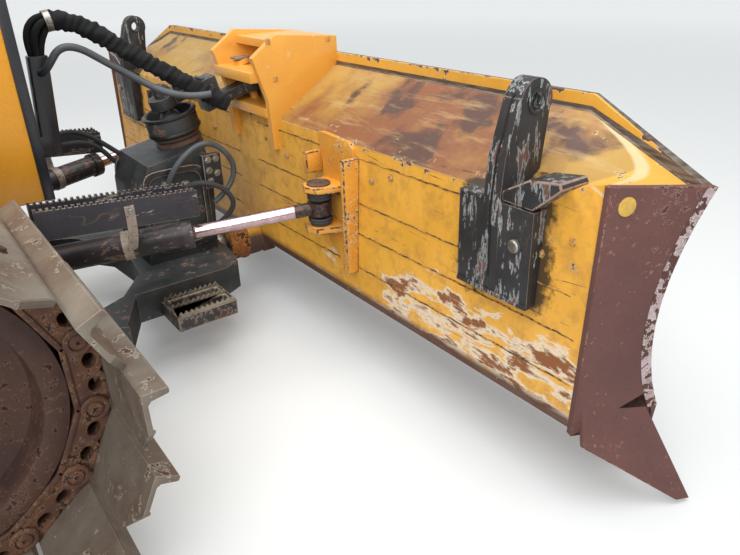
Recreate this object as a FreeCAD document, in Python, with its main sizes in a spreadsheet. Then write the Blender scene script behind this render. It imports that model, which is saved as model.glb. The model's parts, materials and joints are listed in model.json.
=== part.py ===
"""Crawler bulldozer with a C-frame and a blade that lifts, angles and tilts.

Millimetres. X points forward, Y to the driver's left, Z up. The origin is on the ground, below the
middle of the machine's overall box. Every size that can be set by itself is a cell of the sheet.
"""
import FreeCAD, Part
import math
import os
import re
import Sketcher
from types import SimpleNamespace
from FreeCAD import Placement, Rotation, Vector

# name, value, what it measures
SIZES = (
    ("blade_x", 2378, "back plane of the blade, ahead of the origin"),
    ("play", 0.3, "running clearance of pins and of pieces that only touch"),
    # tracks
    ("idler_x", 888, "idler axle, ahead of the origin"),
    ("gauge", 2160, "distance between the two tracks' middles"),
    ("pitch", 200, "distance between two link pins"),
    ("wheel_links", 7, "links round half a wheel"),
    ("run_links", 15, "links on each straight run"),
    ("shoe_width", 840, "track shoe, side to side"),
    ("shoe_gap", 6, "gap between two shoes on the flat run"),
    ("shoe_thick", 12, "plate of a shoe"),
    ("shoe_clip", 90, "clipped corner of a shoe, along its width"),
    ("grouser_high", 50, "bar across a shoe, its height"),
    ("grouser_thick", 18, "bar across a shoe, its thickness"),
    ("link_out", 40, "pin line to the shoe's seat"),
    ("link_in", 50, "pin line to the rail's tread"),
    ("rail_gap", 100, "free space between the two rails of a chain"),
    ("rail_wide", 55, "one rail, side to side"),
    ("sprocket_wide", 60, "toothed rim, side to side"),
    ("tooth_out", 28, "tooth tip beyond the pin line's flats"),
    ("tooth_root", 34, "tooth root inside the pin line's flats"),
    ("idler_hub", 75, "idler hub radius"),
    ("idler_web", 40, "idler web thickness"),
    ("idler_rim", 60, "idler rim depth"),
    ("idler_flange", 18, "centre flange above the idler's tread"),
    ("shaft_r", 40, "idler and roller shaft radius"),
    # roller frames
    ("roller_r", 95, "track roller radius"),
    ("roller_count", 7, "track rollers on each side"),
    ("roller_first", 430, "first roller behind the idler axle"),
    ("roller_step", 345, "distance between two rollers"),
    ("carrier_r", 80, "carrier roller radius"),
    ("carrier_first", 900, "first carrier roller behind the idler axle"),
    ("carrier_step", 1150, "distance between the carrier rollers"),
    ("guard_gap", 15, "rail to side plate"),
    ("side_plate", 25, "roller frame side plate thickness"),
    ("frame_low", 175, "lower edge of the roller frame's side plates"),
    ("frame_top", 500, "top of the roller frame"),
    ("frame_tail", 520, "rear end of the roller frame ahead of the sprocket axle"),
    ("yoke_low", 400, "lower edge of the idler yoke"),
    ("yoke_high", 640, "upper edge of the idler yoke"),
    ("yoke_nose", 95, "yoke ahead of the idler axle"),
    ("yoke_back", 520, "yoke behind the idler axle"),
    # main frame
    ("frame_half", 320, "main frame, half its width"),
    ("frame_floor", 380, "underside of the main frame"),
    ("frame_deck", 640, "top of the main frame's rails"),
    ("bulkhead_back", 1120, "front bulkhead behind the blade"),
    ("bulkhead_thick", 50, "front bulkhead thickness"),
    ("pivot_x", -1160, "pivot shaft of the roller frames"),
    ("pivot_z", 430, "pivot shaft height"),
    ("pivot_r", 70, "pivot shaft radius"),
    ("bar_x", -60, "equalizer bar"),
    ("bar_long", 120, "equalizer bar, front to back"),
    ("bar_low", 235, "underside of the equalizer bar"),
    ("bar_high", 325, "top of the equalizer bar"),
    ("case_front", -1650, "front of the transmission case"),
    ("case_half", 420, "transmission case, half its width"),
    ("case_high", 1150, "top of the transmission case"),
    ("tail_x", -2520, "rear face of the main frame"),
    ("final_r", 260, "final drive housing radius"),
    ("final_hub", 190, "final drive hub radius"),
    # C-frame
    ("arm_pivot", 2500, "C-frame pivot behind the blade"),
    ("arm_pivot_z", 500, "C-frame pivot height"),
    ("arm_in", 475, "inner face of a C-frame arm"),
    ("arm_out", 615, "outer face of a C-frame arm"),
    ("arm_eye", 95, "eye of a C-frame arm, radius"),
    ("pivot_pin", 45, "C-frame pivot pin radius"),
    ("nose_low", 215, "underside of the C-frame's nose"),
    ("nose_high", 336, "top of the C-frame's nose"),
    ("nose_half", 390, "half width of the nose"),
    # swivel
    ("ball_back", 190, "lower ball behind the blade"),
    ("ball_z", 276, "lower ball height"),
    ("ball_r", 62, "lower ball radius"),
    ("cup_back", 315, "upper pivot behind the blade"),
    ("cup_z", 870, "upper pivot height"),
    ("cup_r", 107, "cup ring radius"),
    ("cup_wall", 12, "cup ring wall"),
    ("cup_high", 75, "cup ring height"),
    ("tower_half", 170, "tower, half its width"),
    ("link_eye_x", 60, "pitch link's front eye ahead of the blade's back"),
    ("link_eye_z", 976, "pitch link's front eye height"),
    # angle cylinders
    ("angle_base_back", 1030, "base pin behind the blade"),
    ("angle_base_y", 397, "base pin to the side"),
    ("angle_base_z", 563, "base pin height"),
    ("angle_eye_back", 65, "rod eye behind the blade"),
    ("angle_eye_y", 725, "rod eye to the side"),
    ("angle_eye_z", 630, "rod eye height"),
    ("angle_barrel_r", 47, "barrel radius"),
    ("angle_rod_r", 25, "rod radius"),
    ("angle_head", 552, "gland face ahead of the base pin"),
    # lift cylinders
    ("lift_pin_back", 1400, "rod pin behind the blade"),
    ("lift_pin_z", 540, "rod pin height"),
    ("lug_foot", 440, "lug's foot"),
    ("lug_gap", 64, "gap between the lug's plates"),
    ("lug_pin_r", 25, "pin through the lug's plates"),
    ("lift_y", 545, "lift cylinder to the side"),
    ("lift_top_back", 1700, "trunnion behind the blade"),
    ("lift_top_z", 1300, "trunnion height"),
    ("lift_barrel_r", 50, "barrel radius"),
    ("lift_rod_r", 28, "rod radius"),
    # blade
    ("blade_half", 1850, "half width of the blade's back"),
    ("flare", 0.36, "outward flare of the end plates, side over forward"),
    ("back_low", 280, "lower edge of the blade's back"),
    ("fold_z", 867, "fold of the blade's back"),
    ("fold_x", 29, "fold ahead of the blade's lower edge"),
    ("crest_x", 355, "front of the blade's top edge"),
    ("crest_z", 1104, "top of the blade"),
    ("bevel_in", 274, "where the top corners start to drop, in from the side"),
    ("corner_z", 978, "rear top corner of an end plate"),
    ("horn_x", 307, "front top corner of an end plate, forward"),
    ("horn_z", 943, "front top corner of an end plate, height"),
    ("end_plate", 22, "end plate thickness"),
    ("edge_thick", 25, "cutting edge thickness"),
    ("tip_z", 12, "lowest point of the end bits above the ground"),
    # body
    ("hood_half", 330, "hood, half its width at the front"),
    ("hood_front_back", 889, "front face of the hood behind the blade"),
    ("hood_low", 745, "lower edge of the hood"),
    ("hood_nose", 1620, "top of the hood at its front"),
    ("hood_top", 1790, "top of the hood at the cab"),
    ("hood_wide", 460, "hood, half its width at the cab"),
    ("hood_taper", 1100, "where the hood starts to widen"),
    ("panel", 30, "thickness of the hood's panels"),
    ("pipe_sunk", 70, "stack and cleaner, depth of their feet in the hood"),
    ("cab_front", -260, "front foot of the cab"),
    ("cab_back", -1660, "rear foot of the cab"),
    ("cab_half", 700, "cab, half its width"),
    ("cab_floor", 1180, "floor level of the cab"),
    ("cab_top", 2960, "underside of the roof"),
    ("cab_wall", 60, "thickness of the cab's walls"),
    ("roof_thick", 110, "roof thickness"),
    ("deck_thick", 30, "deck plate thickness"),
    ("deck_half", 1330, "deck, half its width"),
    ("deck_front", 300, "place of the deck's front edge"),
    ("cab_lean", 110, "how far the windscreen leans back over its height"),
    ("rear_lean", 60, "how far the cab's rear wall leans forward above the waist"),
    ("waist_z", 1900, "height of the cab's waist and the tank's top"),
    ("window_edge", 110, "wall beside and above the windows"),
    ("side_sill", 1950, "lower edge of the side windows"),
    ("rear_sill", 1980, "lower edge of the rear window"),
    ("screen_rise", 60, "windscreen's lower edge over the hood"),
    ("pane", 8, "thickness of the glass"),
    ("pane_in", 26, "glass behind the cab's outer face"),
    ("seat_back", -1180, "place of the seat base's rear"),
    ("seat_front", -760, "place of the seat base's front"),
    ("seat_rise", 320, "seat base over the floor"),
    ("pad_half", 240, "seat cushion, half its width"),
    ("pad_over", 40, "cushion past its base, to the front"),
    ("pad_thick", 120, "cushion and the gap under it"),
    ("back_high", 620, "backrest over the cushion"),
    ("back_lean", 100, "how far the backrest leans"),
    ("back_thick", 110, "backrest thickness at its foot"),
    ("back_tip", 100, "backrest thickness at its top"),
    ("console_rise", 560, "consoles over the floor"),
    ("console_in", 290, "inner side of a console"),
    ("console_out", 400, "outer side of a console"),
    ("tank_half", 620, "fuel tank, half its width"),
    ("lamp_r", 60, "work lamp radius"),
    ("lamp_long", 70, "work lamp length"),
    ("lamp_y", 500, "work lamps to the side"),
    ("lamp_in", 110, "work lamps behind the windscreen's foot and before the cab's rear"),
    ("stack_r", 52, "exhaust pipe radius"),
    ("shield_r", 78, "exhaust shield radius"),
    ("neck_r", 55, "air cleaner's neck radius"),
    ("bowl_r", 110, "air cleaner's bowl radius"),
    ("drum_r", 88, "blade's ball drum radius"),
    ("angle_pin_r", 16, "angle cylinder's base pin radius"),
    ("cup_ball_r", 50, "ball in the cup, radius"),
    ("cup_pin_r", 26, "pin on the cup's ball, radius"),
    ("cup_pin_long", 150, "pin on the cup's ball, length from its middle"),
    ("link_pin_r", 18, "pitch link's front pin radius"),
    ("lift_rod_long", 724, "lift rod, from its eye"),
    ("angle_rod_long", 703, "angle rod, from its eye"),
    ("tilt_rod_long", 420, "tilt rod, from its eye"),
    ("tilt_rod_r", 22, "tilt rod radius"),
    ("tilt_barrel_r", 42, "tilt barrel radius"),
    ("tilt_pin_r", 20, "tilt cylinder's base pin radius"),
    ("fork_pin_r", 16, "pin of the fork at the tilt rod's eye"),
)

doc = FreeCAD.newDocument("bulldozer")
sheet = doc.addObject("Spreadsheet::Sheet", "Sizes")
for row, (alias, value, meaning) in enumerate(SIZES, 1):
    sheet.set(f"A{row}", alias)
    sheet.set(f"B{row}", str(value))
    sheet.set(f"C{row}", meaning)
    sheet.setAlias(f"B{row}", alias)
doc.recompute()
g = SimpleNamespace(**{alias: float(value) for alias, value, meaning in SIZES})
NAMES = {alias for alias, value, meaning in SIZES}
WORD = re.compile(r"[A-Za-z_]+")
nodes = {}


def cell(text):
    """Turn a line of size names into an expression on the sheet's cells."""
    return WORD.sub(lambda word: "Sizes." + word.group() if word.group() in NAMES else word.group(),
                    str(text))


def number(text):
    """Value of such a line."""
    return float(sheet.evalExpression(cell(text)))


def bind(thing, **links):
    """Bind properties to the sheet, with a double underline for each dot in a property's path."""
    for path, text in links.items():
        thing.setExpression(path.replace("__", "."), cell(text))
    return thing


def slab(name, x, y, z):
    """Box between two limits on each axis."""
    box = doc.addObject("Part::Box", name)
    return bind(box, Length=f"({x[1]}) - ({x[0]})", Width=f"({y[1]}) - ({y[0]})",
                Height=f"({z[1]}) - ({z[0]})",
                Placement__Base__x=x[0], Placement__Base__y=y[0], Placement__Base__z=z[0])


TURNS = {"X": Rotation(Vector(0, 1, 0), 90), "Y": Rotation(Vector(1, 0, 0), -90), "Z": Rotation()}


def bar(name, axis, at, low, high, radius):
    """Cylinder along an axis, from low to high, through a point given on the other two axes."""
    solid = doc.addObject("Part::Cylinder", name)
    solid.Placement = Placement(Vector(), TURNS[axis])
    places = list(at)
    places.insert("XYZ".index(axis), low)
    return bind(solid, Radius=radius, Height=f"({high}) - ({low})",
                Placement__Base__x=places[0], Placement__Base__y=places[1], Placement__Base__z=places[2])


PLANES = {"XZ": (Rotation(Vector(1, 0, 0), 90), Vector(0, 1, 0), "y"),
          "YZ": (Rotation(Vector(1, 1, 1), 120), Vector(1, 0, 0), "x"),
          "XY": (Rotation(), Vector(0, 0, 1), "z")}


def outline(name, plane, points, low, high):
    """Sketch through corners whose places are bound to the sheet, extruded from low to high."""
    turn, normal, across = PLANES[plane]
    sketch = doc.addObject("Sketcher::SketchObject", name + "_outline")
    sketch.Placement = Placement(Vector(), turn)
    corners = [Vector(number(u), number(v), 0) for u, v in points]
    count = len(corners)
    sketch.addGeometry([Part.LineSegment(corners[i], corners[(i + 1) % count]) for i in range(count)])
    for i in range(count):
        sketch.addConstraint(Sketcher.Constraint("Coincident", i, 2, (i + 1) % count, 1))
    for i, (u, v) in enumerate(points):
        for kind, value, text in (("DistanceX", corners[i].x, u), ("DistanceY", corners[i].y, v)):
            index = sketch.addConstraint(Sketcher.Constraint(kind, -1, 1, i, 1, value))
            if NAMES & set(WORD.findall(str(text))):
                sketch.setExpression(f"Constraints[{index}]", cell(text))
    bind(sketch, **{f"Placement__Base__{across}": low})
    body = doc.addObject("Part::Extrusion", name)
    body.Base, body.DirMode, body.Dir, body.Solid = sketch, "Custom", normal, True
    return bind(body, LengthFwd=f"({high}) - ({low})")


def fuse(name, *solids):
    """Union of several solids."""
    joined = doc.addObject("Part::MultiFuse", name)
    joined.Shapes = list(solids)
    return joined


def cut(name, base, *tools):
    """A solid less all the tools."""
    result = doc.addObject("Part::Cut", name)
    result.Base = base
    result.Tool = tools[0] if len(tools) == 1 else fuse(name + "_tools", *tools)
    return result


def mirror(name, source):
    """The same form on the machine's other side."""
    other = doc.addObject("Part::Mirroring", name)
    other.Source, other.Base, other.Normal = source, Vector(), Vector(0, 1, 0)
    return other


def both(name, left):
    """A left solid and its mirror image, as one object of separate solids."""
    pair = doc.addObject("Part::Compound", name)
    pair.Links = [left, mirror(name + "_other", left)]
    return pair


def made(name, shape):
    """A shape worked out with Part's own functions, for forms that no primitive fits."""
    feature = doc.addObject("Part::Feature", name)
    feature.Shape = shape
    return feature


def node(label, thing):
    """Keep a finished piece under its own name."""
    thing.Label = label
    nodes[label] = thing
    return thing


def back(distance):
    """Place along X that lies a distance behind the blade's back plane."""
    return f"blade_x - ({distance})"


def prism(corners, sweep):
    """Solid swept from a closed loop of points."""
    return Part.Face(Part.makePolygon(corners + corners[:1])).extrude(sweep)


# Tracks: one closed loop each, two toothed-wheel halves joined by two straight runs
PIN_R = g.pitch / (2 * math.sin(math.pi / (2 * g.wheel_links)))
FLAT_R = PIN_R * math.cos(math.pi / (2 * g.wheel_links))
AXLE_Z = g.grouser_high + g.shoe_thick + g.link_out + PIN_R
SPROCKET_X = g.idler_x - g.run_links * g.pitch
TREAD_R = FLAT_R - g.link_in - 1
TRACK_Y = g.gauge / 2
RAIL_OUT = g.rail_gap / 2 + g.rail_wide
PLATE_IN = RAIL_OUT + g.guard_gap


def track_pins():
    """Pin centres round the loop, as (x, z), starting below the idler and going up round it."""
    pins = []
    half = int(g.wheel_links)
    for centre, start in ((g.idler_x, -90), (SPROCKET_X, 90)):
        for i in range(half + 1):
            angle = math.radians(start + 180 * i / half)
            pins.append((centre + PIN_R * math.cos(angle), AXLE_Z + PIN_R * math.sin(angle)))
        way = -1 if start == -90 else 1
        x, z = pins[-1]
        pins += [(x + way * g.pitch * i, z) for i in range(1, int(g.run_links))]
    return pins


def track_solid(side):
    """Two rails with a shoe on every link: the chain and its shoes in one fixed loop."""
    pins = track_pins()
    count = len(pins)
    middle = side * TRACK_Y

    def ring(shift):
        corners = []
        for i in range(count):
            (ax, az), (bx, bz), (cx, cz) = pins[i - 1], pins[i], pins[(i + 1) % count]
            first = Vector(bx - ax, 0, bz - az).normalize()
            second = Vector(cx - bx, 0, cz - bz).normalize()
            out = Vector(first.z + second.z, 0, -first.x - second.x)
            corners.append(Vector(bx, 0, bz) + out * (shift * 2 / out.Length ** 2))
        return corners

    rails = []
    outer, inner = ring(g.link_out), ring(-g.link_in)
    for low in (-RAIL_OUT, g.rail_gap / 2):
        full, hollow = [prism([p + Vector(0, middle + low, 0) for p in loop], Vector(0, g.rail_wide, 0))
                        for loop in (outer, inner)]
        rails.append(full.cut(hollow))
    reach, long, clip = g.shoe_width / 2, g.pitch - g.shoe_gap, g.shoe_clip
    plan = [(-long / 2, -reach + clip), (-long / 2, reach - clip), (-long / 4, reach), (long / 2, reach),
            (long / 2, -reach), (-long / 4, -reach)]
    plate = prism([Vector(x, y, 0) for x, y in plan], Vector(0, 0, g.shoe_thick))
    crest = long / 2 - g.grouser_thick
    grouser = Part.makeBox(g.grouser_thick, 2 * reach, g.grouser_high, Vector(crest, -reach, g.shoe_thick))
    shoe = plate.fuse(grouser).removeSplitter()
    shoes = []
    for i in range(count):
        (ax, az), (bx, bz) = pins[i], pins[(i + 1) % count]
        along = Vector(bx - ax, 0, bz - az).normalize()
        out = Vector(along.z, 0, -along.x)
        turn = Rotation(along, Vector(0, -1, 0), out, "XZY")
        seat = Vector((ax + bx) / 2, middle, (az + bz) / 2) + out * g.link_out
        shoes.append(shoe.transformed(Placement(seat, turn).toMatrix()))
    return rails[0].multiFuse(rails[1:] + shoes)


for side, word in ((1, "left"), (-1, "right")):
    node(f"track_{word}", made(f"track_{word}", track_solid(side)))


def spun(name, profile, x, z, y):
    """Turned piece about a cross axis, from a half profile of (offset along Y, radius)."""
    corners = [Vector(x, y + across, z + radius) for across, radius in profile]
    shape = Part.Face(Part.makePolygon(corners + corners[:1])).revolve(Vector(x, y, z), Vector(0, 1, 0),
                                                            360)
    return made(name, shape)


def idler():
    rim = TREAD_R - g.idler_rim
    half = [(RAIL_OUT + 4, 0), (RAIL_OUT + 4, g.idler_hub), (g.idler_web / 2, g.idler_hub + 15),
            (g.idler_web / 2, rim - 12), (RAIL_OUT, rim), (RAIL_OUT, TREAD_R),
            (g.rail_gap / 2 - 4, TREAD_R),
            (g.rail_gap / 2 - 12, TREAD_R + g.idler_flange)]
    profile = half + [(-across, radius) for across, radius in reversed(half)]
    wheel = spun("idler_wheel", profile, g.idler_x, AXLE_Z, TRACK_Y)
    reach = PLATE_IN - g.play
    shaft = made("idler_shaft", Part.makeCylinder(g.shaft_r, 2 * reach,
                                                  Vector(g.idler_x, TRACK_Y - reach, AXLE_Z),
                                                  Vector(0, 1, 0)))
    return fuse("idler_left", wheel, shaft)


node("idlers", both("idlers", idler()))


def sprocket():
    """Toothed rim that fills every space between two pins, with a dished hub."""
    half = int(g.wheel_links)
    tip, root = FLAT_R + g.tooth_out, FLAT_R - g.tooth_root
    step = 360 / (2 * half)
    corners = []
    for i in range(2 * half):
        for turn, radius in ((-0.34, root), (-0.12, tip), (0.12, tip), (0.34, root)):
            angle = math.radians(-90 + step * (i + 0.5 + turn))
            corners.append(Vector(SPROCKET_X + radius * math.cos(angle), TRACK_Y - g.sprocket_wide / 2,
                                  AXLE_Z + radius * math.sin(angle)))
    rim = prism(corners, Vector(0, g.sprocket_wide, 0))
    hub = Part.makeCylinder(g.final_hub, 120, Vector(SPROCKET_X, TRACK_Y + g.sprocket_wide / 2, AXLE_Z),
                            Vector(0, 1, 0))
    cap = Part.makeCone(g.final_hub, g.final_hub * 0.6, 45,
                        Vector(SPROCKET_X, TRACK_Y + g.sprocket_wide / 2 + 120, AXLE_Z),
                        Vector(0, 1, 0))
    return made("sprocket_left", rim.fuse([hub, cap]).removeSplitter())


node("sprockets", both("sprockets", sprocket()))

# Roller frames: two side plates and a top plate on each side, with the idler's yoke at the front
RAIL_TOP = AXLE_Z - PIN_R + g.link_in
ROLLER_Z = RAIL_TOP + g.play + g.roller_r
IN_Y, OUT_Y = TRACK_Y - PLATE_IN, TRACK_Y + PLATE_IN


def roller_frame():
    front = g.idler_x - g.yoke_back
    tail = SPROCKET_X + g.frame_tail
    nose = g.idler_x + g.yoke_nose
    side = [(tail, g.frame_top), (tail, 330), (tail + 120, g.frame_low), (front + 60, g.frame_low),
            (front + 140, g.yoke_low), (nose - 40, g.yoke_low), (nose, g.yoke_low + 50),
            (nose, g.yoke_high - 60),
            (nose - 60, g.yoke_high), (front + 60, g.yoke_high), (front - 120, g.frame_top)]
    plates = [prism([Vector(x, y, z) for x, z in side], Vector(0, g.side_plate, 0))
              for y in (IN_Y - g.side_plate, OUT_Y)]
    top = Part.makeBox(front - tail - 120, 2 * PLATE_IN, g.side_plate,
                       Vector(tail, IN_Y, g.frame_top - g.side_plate))
    return made("roller_frame_left", plates[0].fuse([plates[1], top]).removeSplitter())


node("roller_frames", both("roller_frames", roller_frame()))


def rollers():
    """Track rollers under the frame and carrier rollers on posts above it, on the left side."""
    solids = []
    reach = PLATE_IN - g.play
    for i in range(int(g.roller_count)):
        x = g.idler_x - g.roller_first - i * g.roller_step
        wheel = Part.makeCylinder(g.roller_r, 2 * RAIL_OUT, Vector(x, TRACK_Y - RAIL_OUT, ROLLER_Z),
                                  Vector(0, 1, 0))
        shaft = Part.makeCylinder(g.shaft_r, 2 * reach, Vector(x, TRACK_Y - reach, ROLLER_Z),
                                  Vector(0, 1, 0))
        solids.append(wheel.fuse(shaft).removeSplitter())
    carrier_z = AXLE_Z + PIN_R - g.link_in - g.play - g.carrier_r
    for i in range(2):
        x = g.idler_x - g.carrier_first - i * g.carrier_step
        wheel = Part.makeCylinder(g.carrier_r, 2 * RAIL_OUT, Vector(x, TRACK_Y - RAIL_OUT, carrier_z),
                                  Vector(0, 1, 0))
        shaft = Part.makeCylinder(g.shaft_r * 0.7, g.guard_gap, Vector(x, TRACK_Y - PLATE_IN, carrier_z),
                                  Vector(0, 1, 0))
        post = Part.makeBox(100, g.side_plate, carrier_z + 60 - g.frame_top,
                            Vector(x - 50, IN_Y - g.side_plate, g.frame_top))
        solids.append(wheel.fuse([shaft, post]).removeSplitter())
    return made("rollers_left", Part.makeCompound(solids))


node("rollers", both("rollers", rollers()))

# Main frame: belly, front bulkhead, transmission case, pivot shaft, equalizer bar and pivot pins
bulk_x = (back("bulkhead_back + bulkhead_thick"), back("bulkhead_back"))
belly = slab("belly", ("case_front", bulk_x[0]), ("-frame_half", "frame_half"),
             ("frame_floor", "frame_deck"))
bulkhead = slab("bulkhead", bulk_x, ("-frame_half", "frame_half"), ("frame_floor", "hood_low"))
case = slab("case", ("tail_x", "case_front"), ("-case_half", "case_half"), ("frame_floor", "case_high"))
pivot = bar("pivot", "Y", ("pivot_x", "pivot_z"),
            "-(gauge / 2 - rail_gap / 2 - rail_wide - guard_gap - side_plate)",
            "gauge / 2 - rail_gap / 2 - rail_wide - guard_gap - side_plate", "pivot_r")
equalizer = slab("equalizer", ("bar_x", "bar_x + bar_long"),
                 ("-(gauge / 2 - rail_gap / 2 - rail_wide - guard_gap - side_plate)",
                  "gauge / 2 - rail_gap / 2 - rail_wide - guard_gap - side_plate"), ("bar_low", "bar_high"))
saddle = slab("saddle", ("bar_x - 30", "bar_x + bar_long + 30"), ("-140", "140"),
              ("bar_high", "frame_floor"))
arm_pins = bar("arm_pins", "Y", (back("arm_pivot"), "arm_pivot_z"), "-(arm_out + 30)", "arm_out + 30",
               "pivot_pin")
arm_boss = bar("arm_boss", "Y", (back("arm_pivot"), "arm_pivot_z"), "-(arm_in - 5)", "arm_in - 5",
               "arm_eye + 5")
node("main_frame", fuse("main_frame", belly, bulkhead, case, pivot, equalizer, saddle, arm_pins, arm_boss))

final_y = "gauge / 2 - sprocket_wide / 2"
final = doc.addObject("Part::Cylinder", "final_housing")
final.Placement = Placement(Vector(SPROCKET_X, g.case_half, AXLE_Z), TURNS["Y"])
bind(final, Radius="final_r", Height=f"{final_y} - case_half")
node("final_drives", both("final_drives", final))

# Hood, grille, engine and the post that holds the hoses
hood_x = back("hood_front_back")
plan = [(hood_x, "-hood_half"), (hood_x, "hood_half"), ("hood_taper", "hood_half"),
        ("cab_front", "hood_wide"),
        ("cab_front", "-hood_wide"), ("hood_taper", "-hood_half")]
inner_plan = [(f"{hood_x} + 1", "-(hood_half - panel)"), (f"{hood_x} + 1", "hood_half - panel"),
              ("hood_taper", "hood_half - panel"), ("cab_front - 1", "hood_wide - panel"),
              ("cab_front - 1", "-(hood_wide - panel)"), ("hood_taper", "-(hood_half - panel)")]
hood_block = outline("hood_block", "XY", plan, "hood_low", "hood_top + hood_nose")
ceiling = "min(hood_nose; hood_top) - 3 * panel"
hood_space = outline("hood_space", "XY", inner_plan, "hood_low - 1", ceiling)
above = "hood_top + hood_nose + 5"
hood_slope = outline("hood_slope", "XZ", [(hood_x, "hood_nose"), (hood_x, above), ("cab_front", above),
                                          ("cab_front", "hood_top")],
                     "-hood_wide - 5", "hood_wide + 5")
STACK, CLEANER = ("470", "-190"), ("330", "200")
foot_z = {x: f"hood_nose + (hood_top - hood_nose) * ({hood_x} - {x}) / ({hood_x} - cab_front) - pipe_sunk"
          for x in (STACK[0], CLEANER[0])}
stack_hole = bar("stack_hole", "Z", STACK, f"{foot_z[STACK[0]]} - play", above, "stack_r + play")
cleaner_hole = bar("cleaner_hole", "Z", CLEANER, f"{foot_z[CLEANER[0]]} - play", above, "neck_r + play")
node("hood", cut("hood", hood_block, hood_space, hood_slope, stack_hole, cleaner_hole))

grille_x = (f"{hood_x} - 25", f"{hood_x} - 1")
grille_plate = slab("grille_plate", grille_x, ("-(hood_half - panel)", "hood_half - panel"),
                    ("hood_low", ceiling))
slot_step = f"({ceiling} - hood_low - 81) / 8"
slots = [slab(f"slot_{i}", (f"{hood_x} - 30", f"{hood_x} + 5"), ("-(hood_half - 90)", "hood_half - 90"),
              (f"hood_low + 70 + {i} * {slot_step}",
               f"hood_low + 70 + ({i} + 0.545) * {slot_step}")) for i in range(8)]
node("grille", cut("grille", grille_plate, *slots))
node("engine", slab("engine", ("hood_taper - 1050", "hood_taper - 50"), ("-250", "250"),
                    ("frame_deck", f"{ceiling} - 110")))

post_low, post_high = (g.blade_x - 800, 817), (g.blade_x - 772, 1178)
post_side = [(post_low[0] - 33, post_low[1]), (post_low[0] + 33, post_low[1]),
             (post_high[0] + 33, post_high[1]), (post_high[0] - 33, post_high[1])]
post = outline("post", "XZ", post_side, "-30", "30")
foot = slab("post_foot", (f"{hood_x} - 0.7", f"{post_low[0]}"), ("-45", "45"), ("830", "890"))
node("hose_post", fuse("hose_post", post, foot))

# Cab with its doors, glass, roof, seat and controls
wall_side = [("cab_front", "cab_floor"), ("cab_front", "hood_top"), ("cab_front - cab_lean", "cab_top"),
             ("cab_back + rear_lean", "cab_top"), ("cab_back", "waist_z"), ("cab_back", "cab_floor")]
room_side = [("cab_front - cab_wall", "cab_floor - 1"), ("cab_front - cab_wall", "hood_top"),
             ("cab_front - cab_lean - cab_wall", "cab_top + 1"),
             ("cab_back + rear_lean + cab_wall", "cab_top + 1"),
             ("cab_back + cab_wall", "waist_z"), ("cab_back + cab_wall", "cab_floor - 1")]
shell = outline("cab_shell", "XZ", wall_side, "-cab_half", "cab_half")
room = outline("cab_room", "XZ", room_side, "-(cab_half - cab_wall)", "cab_half - cab_wall")
DOOR = SimpleNamespace(front="cab_front - 130", back="cab_back + 560", low="cab_floor + 60",
                       high="cab_top - window_edge", gap=6)
doorway = slab("doorway", (DOOR.back, DOOR.front), ("-cab_half - 5", "cab_half + 5"), (DOOR.low, DOOR.high))
side_window = slab("side_window", ("cab_back + 130", "cab_back + 480"), ("-cab_half - 5", "cab_half + 5"),
                   ("side_sill", "cab_top - window_edge"))
front_window = slab("front_window", ("cab_front - 200", "cab_front + 10"),
                    ("-(cab_half - window_edge)", "cab_half - window_edge"),
                    ("hood_top + screen_rise", "cab_top - window_edge"))
rear_window = slab("rear_window", ("cab_back - 10", "cab_back + 130"),
                   ("-(cab_half - window_edge)", "cab_half - window_edge"),
                   ("rear_sill", "cab_top - window_edge"))
cab_walls = cut("cab_walls", shell, room, doorway, side_window, front_window, rear_window)

pane_out, pane_back = "pane_in", "pane_in + pane"
pane_left = slab("pane_left", ("cab_back + 130", "cab_back + 480"),
                 (f"cab_half - ({pane_back})", f"cab_half - {pane_out}"),
                 ("side_sill", "cab_top - window_edge"))
front_low, front_high = "hood_top + screen_rise", "cab_top - window_edge"


def leaning_pane(name, wall, way, foot, lean, low, high):
    """Pane inside a wall that leans over its height, above its foot."""
    slope = f"{lean} / (cab_top - {foot})"
    corners = [(f"{wall} + {way} * ({depth} + ({z} - {foot}) * {slope})", z)
               for depth, z in ((pane_back, low), (pane_out, low), (pane_out, high), (pane_back, high))]
    return outline(name, "XZ", corners, "-(cab_half - window_edge)", "cab_half - window_edge")


panes = [pane_left, mirror("pane_right", pane_left),
         leaning_pane("pane_front", "cab_front", -1, "hood_top", "cab_lean", front_low, front_high),
         leaning_pane("pane_rear", "cab_back", 1, "waist_z", "rear_lean", "rear_sill", front_high)]
glass = doc.addObject("Part::Compound", "cab_glass")
glass.Links = panes
node("cab_glass", glass)

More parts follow.
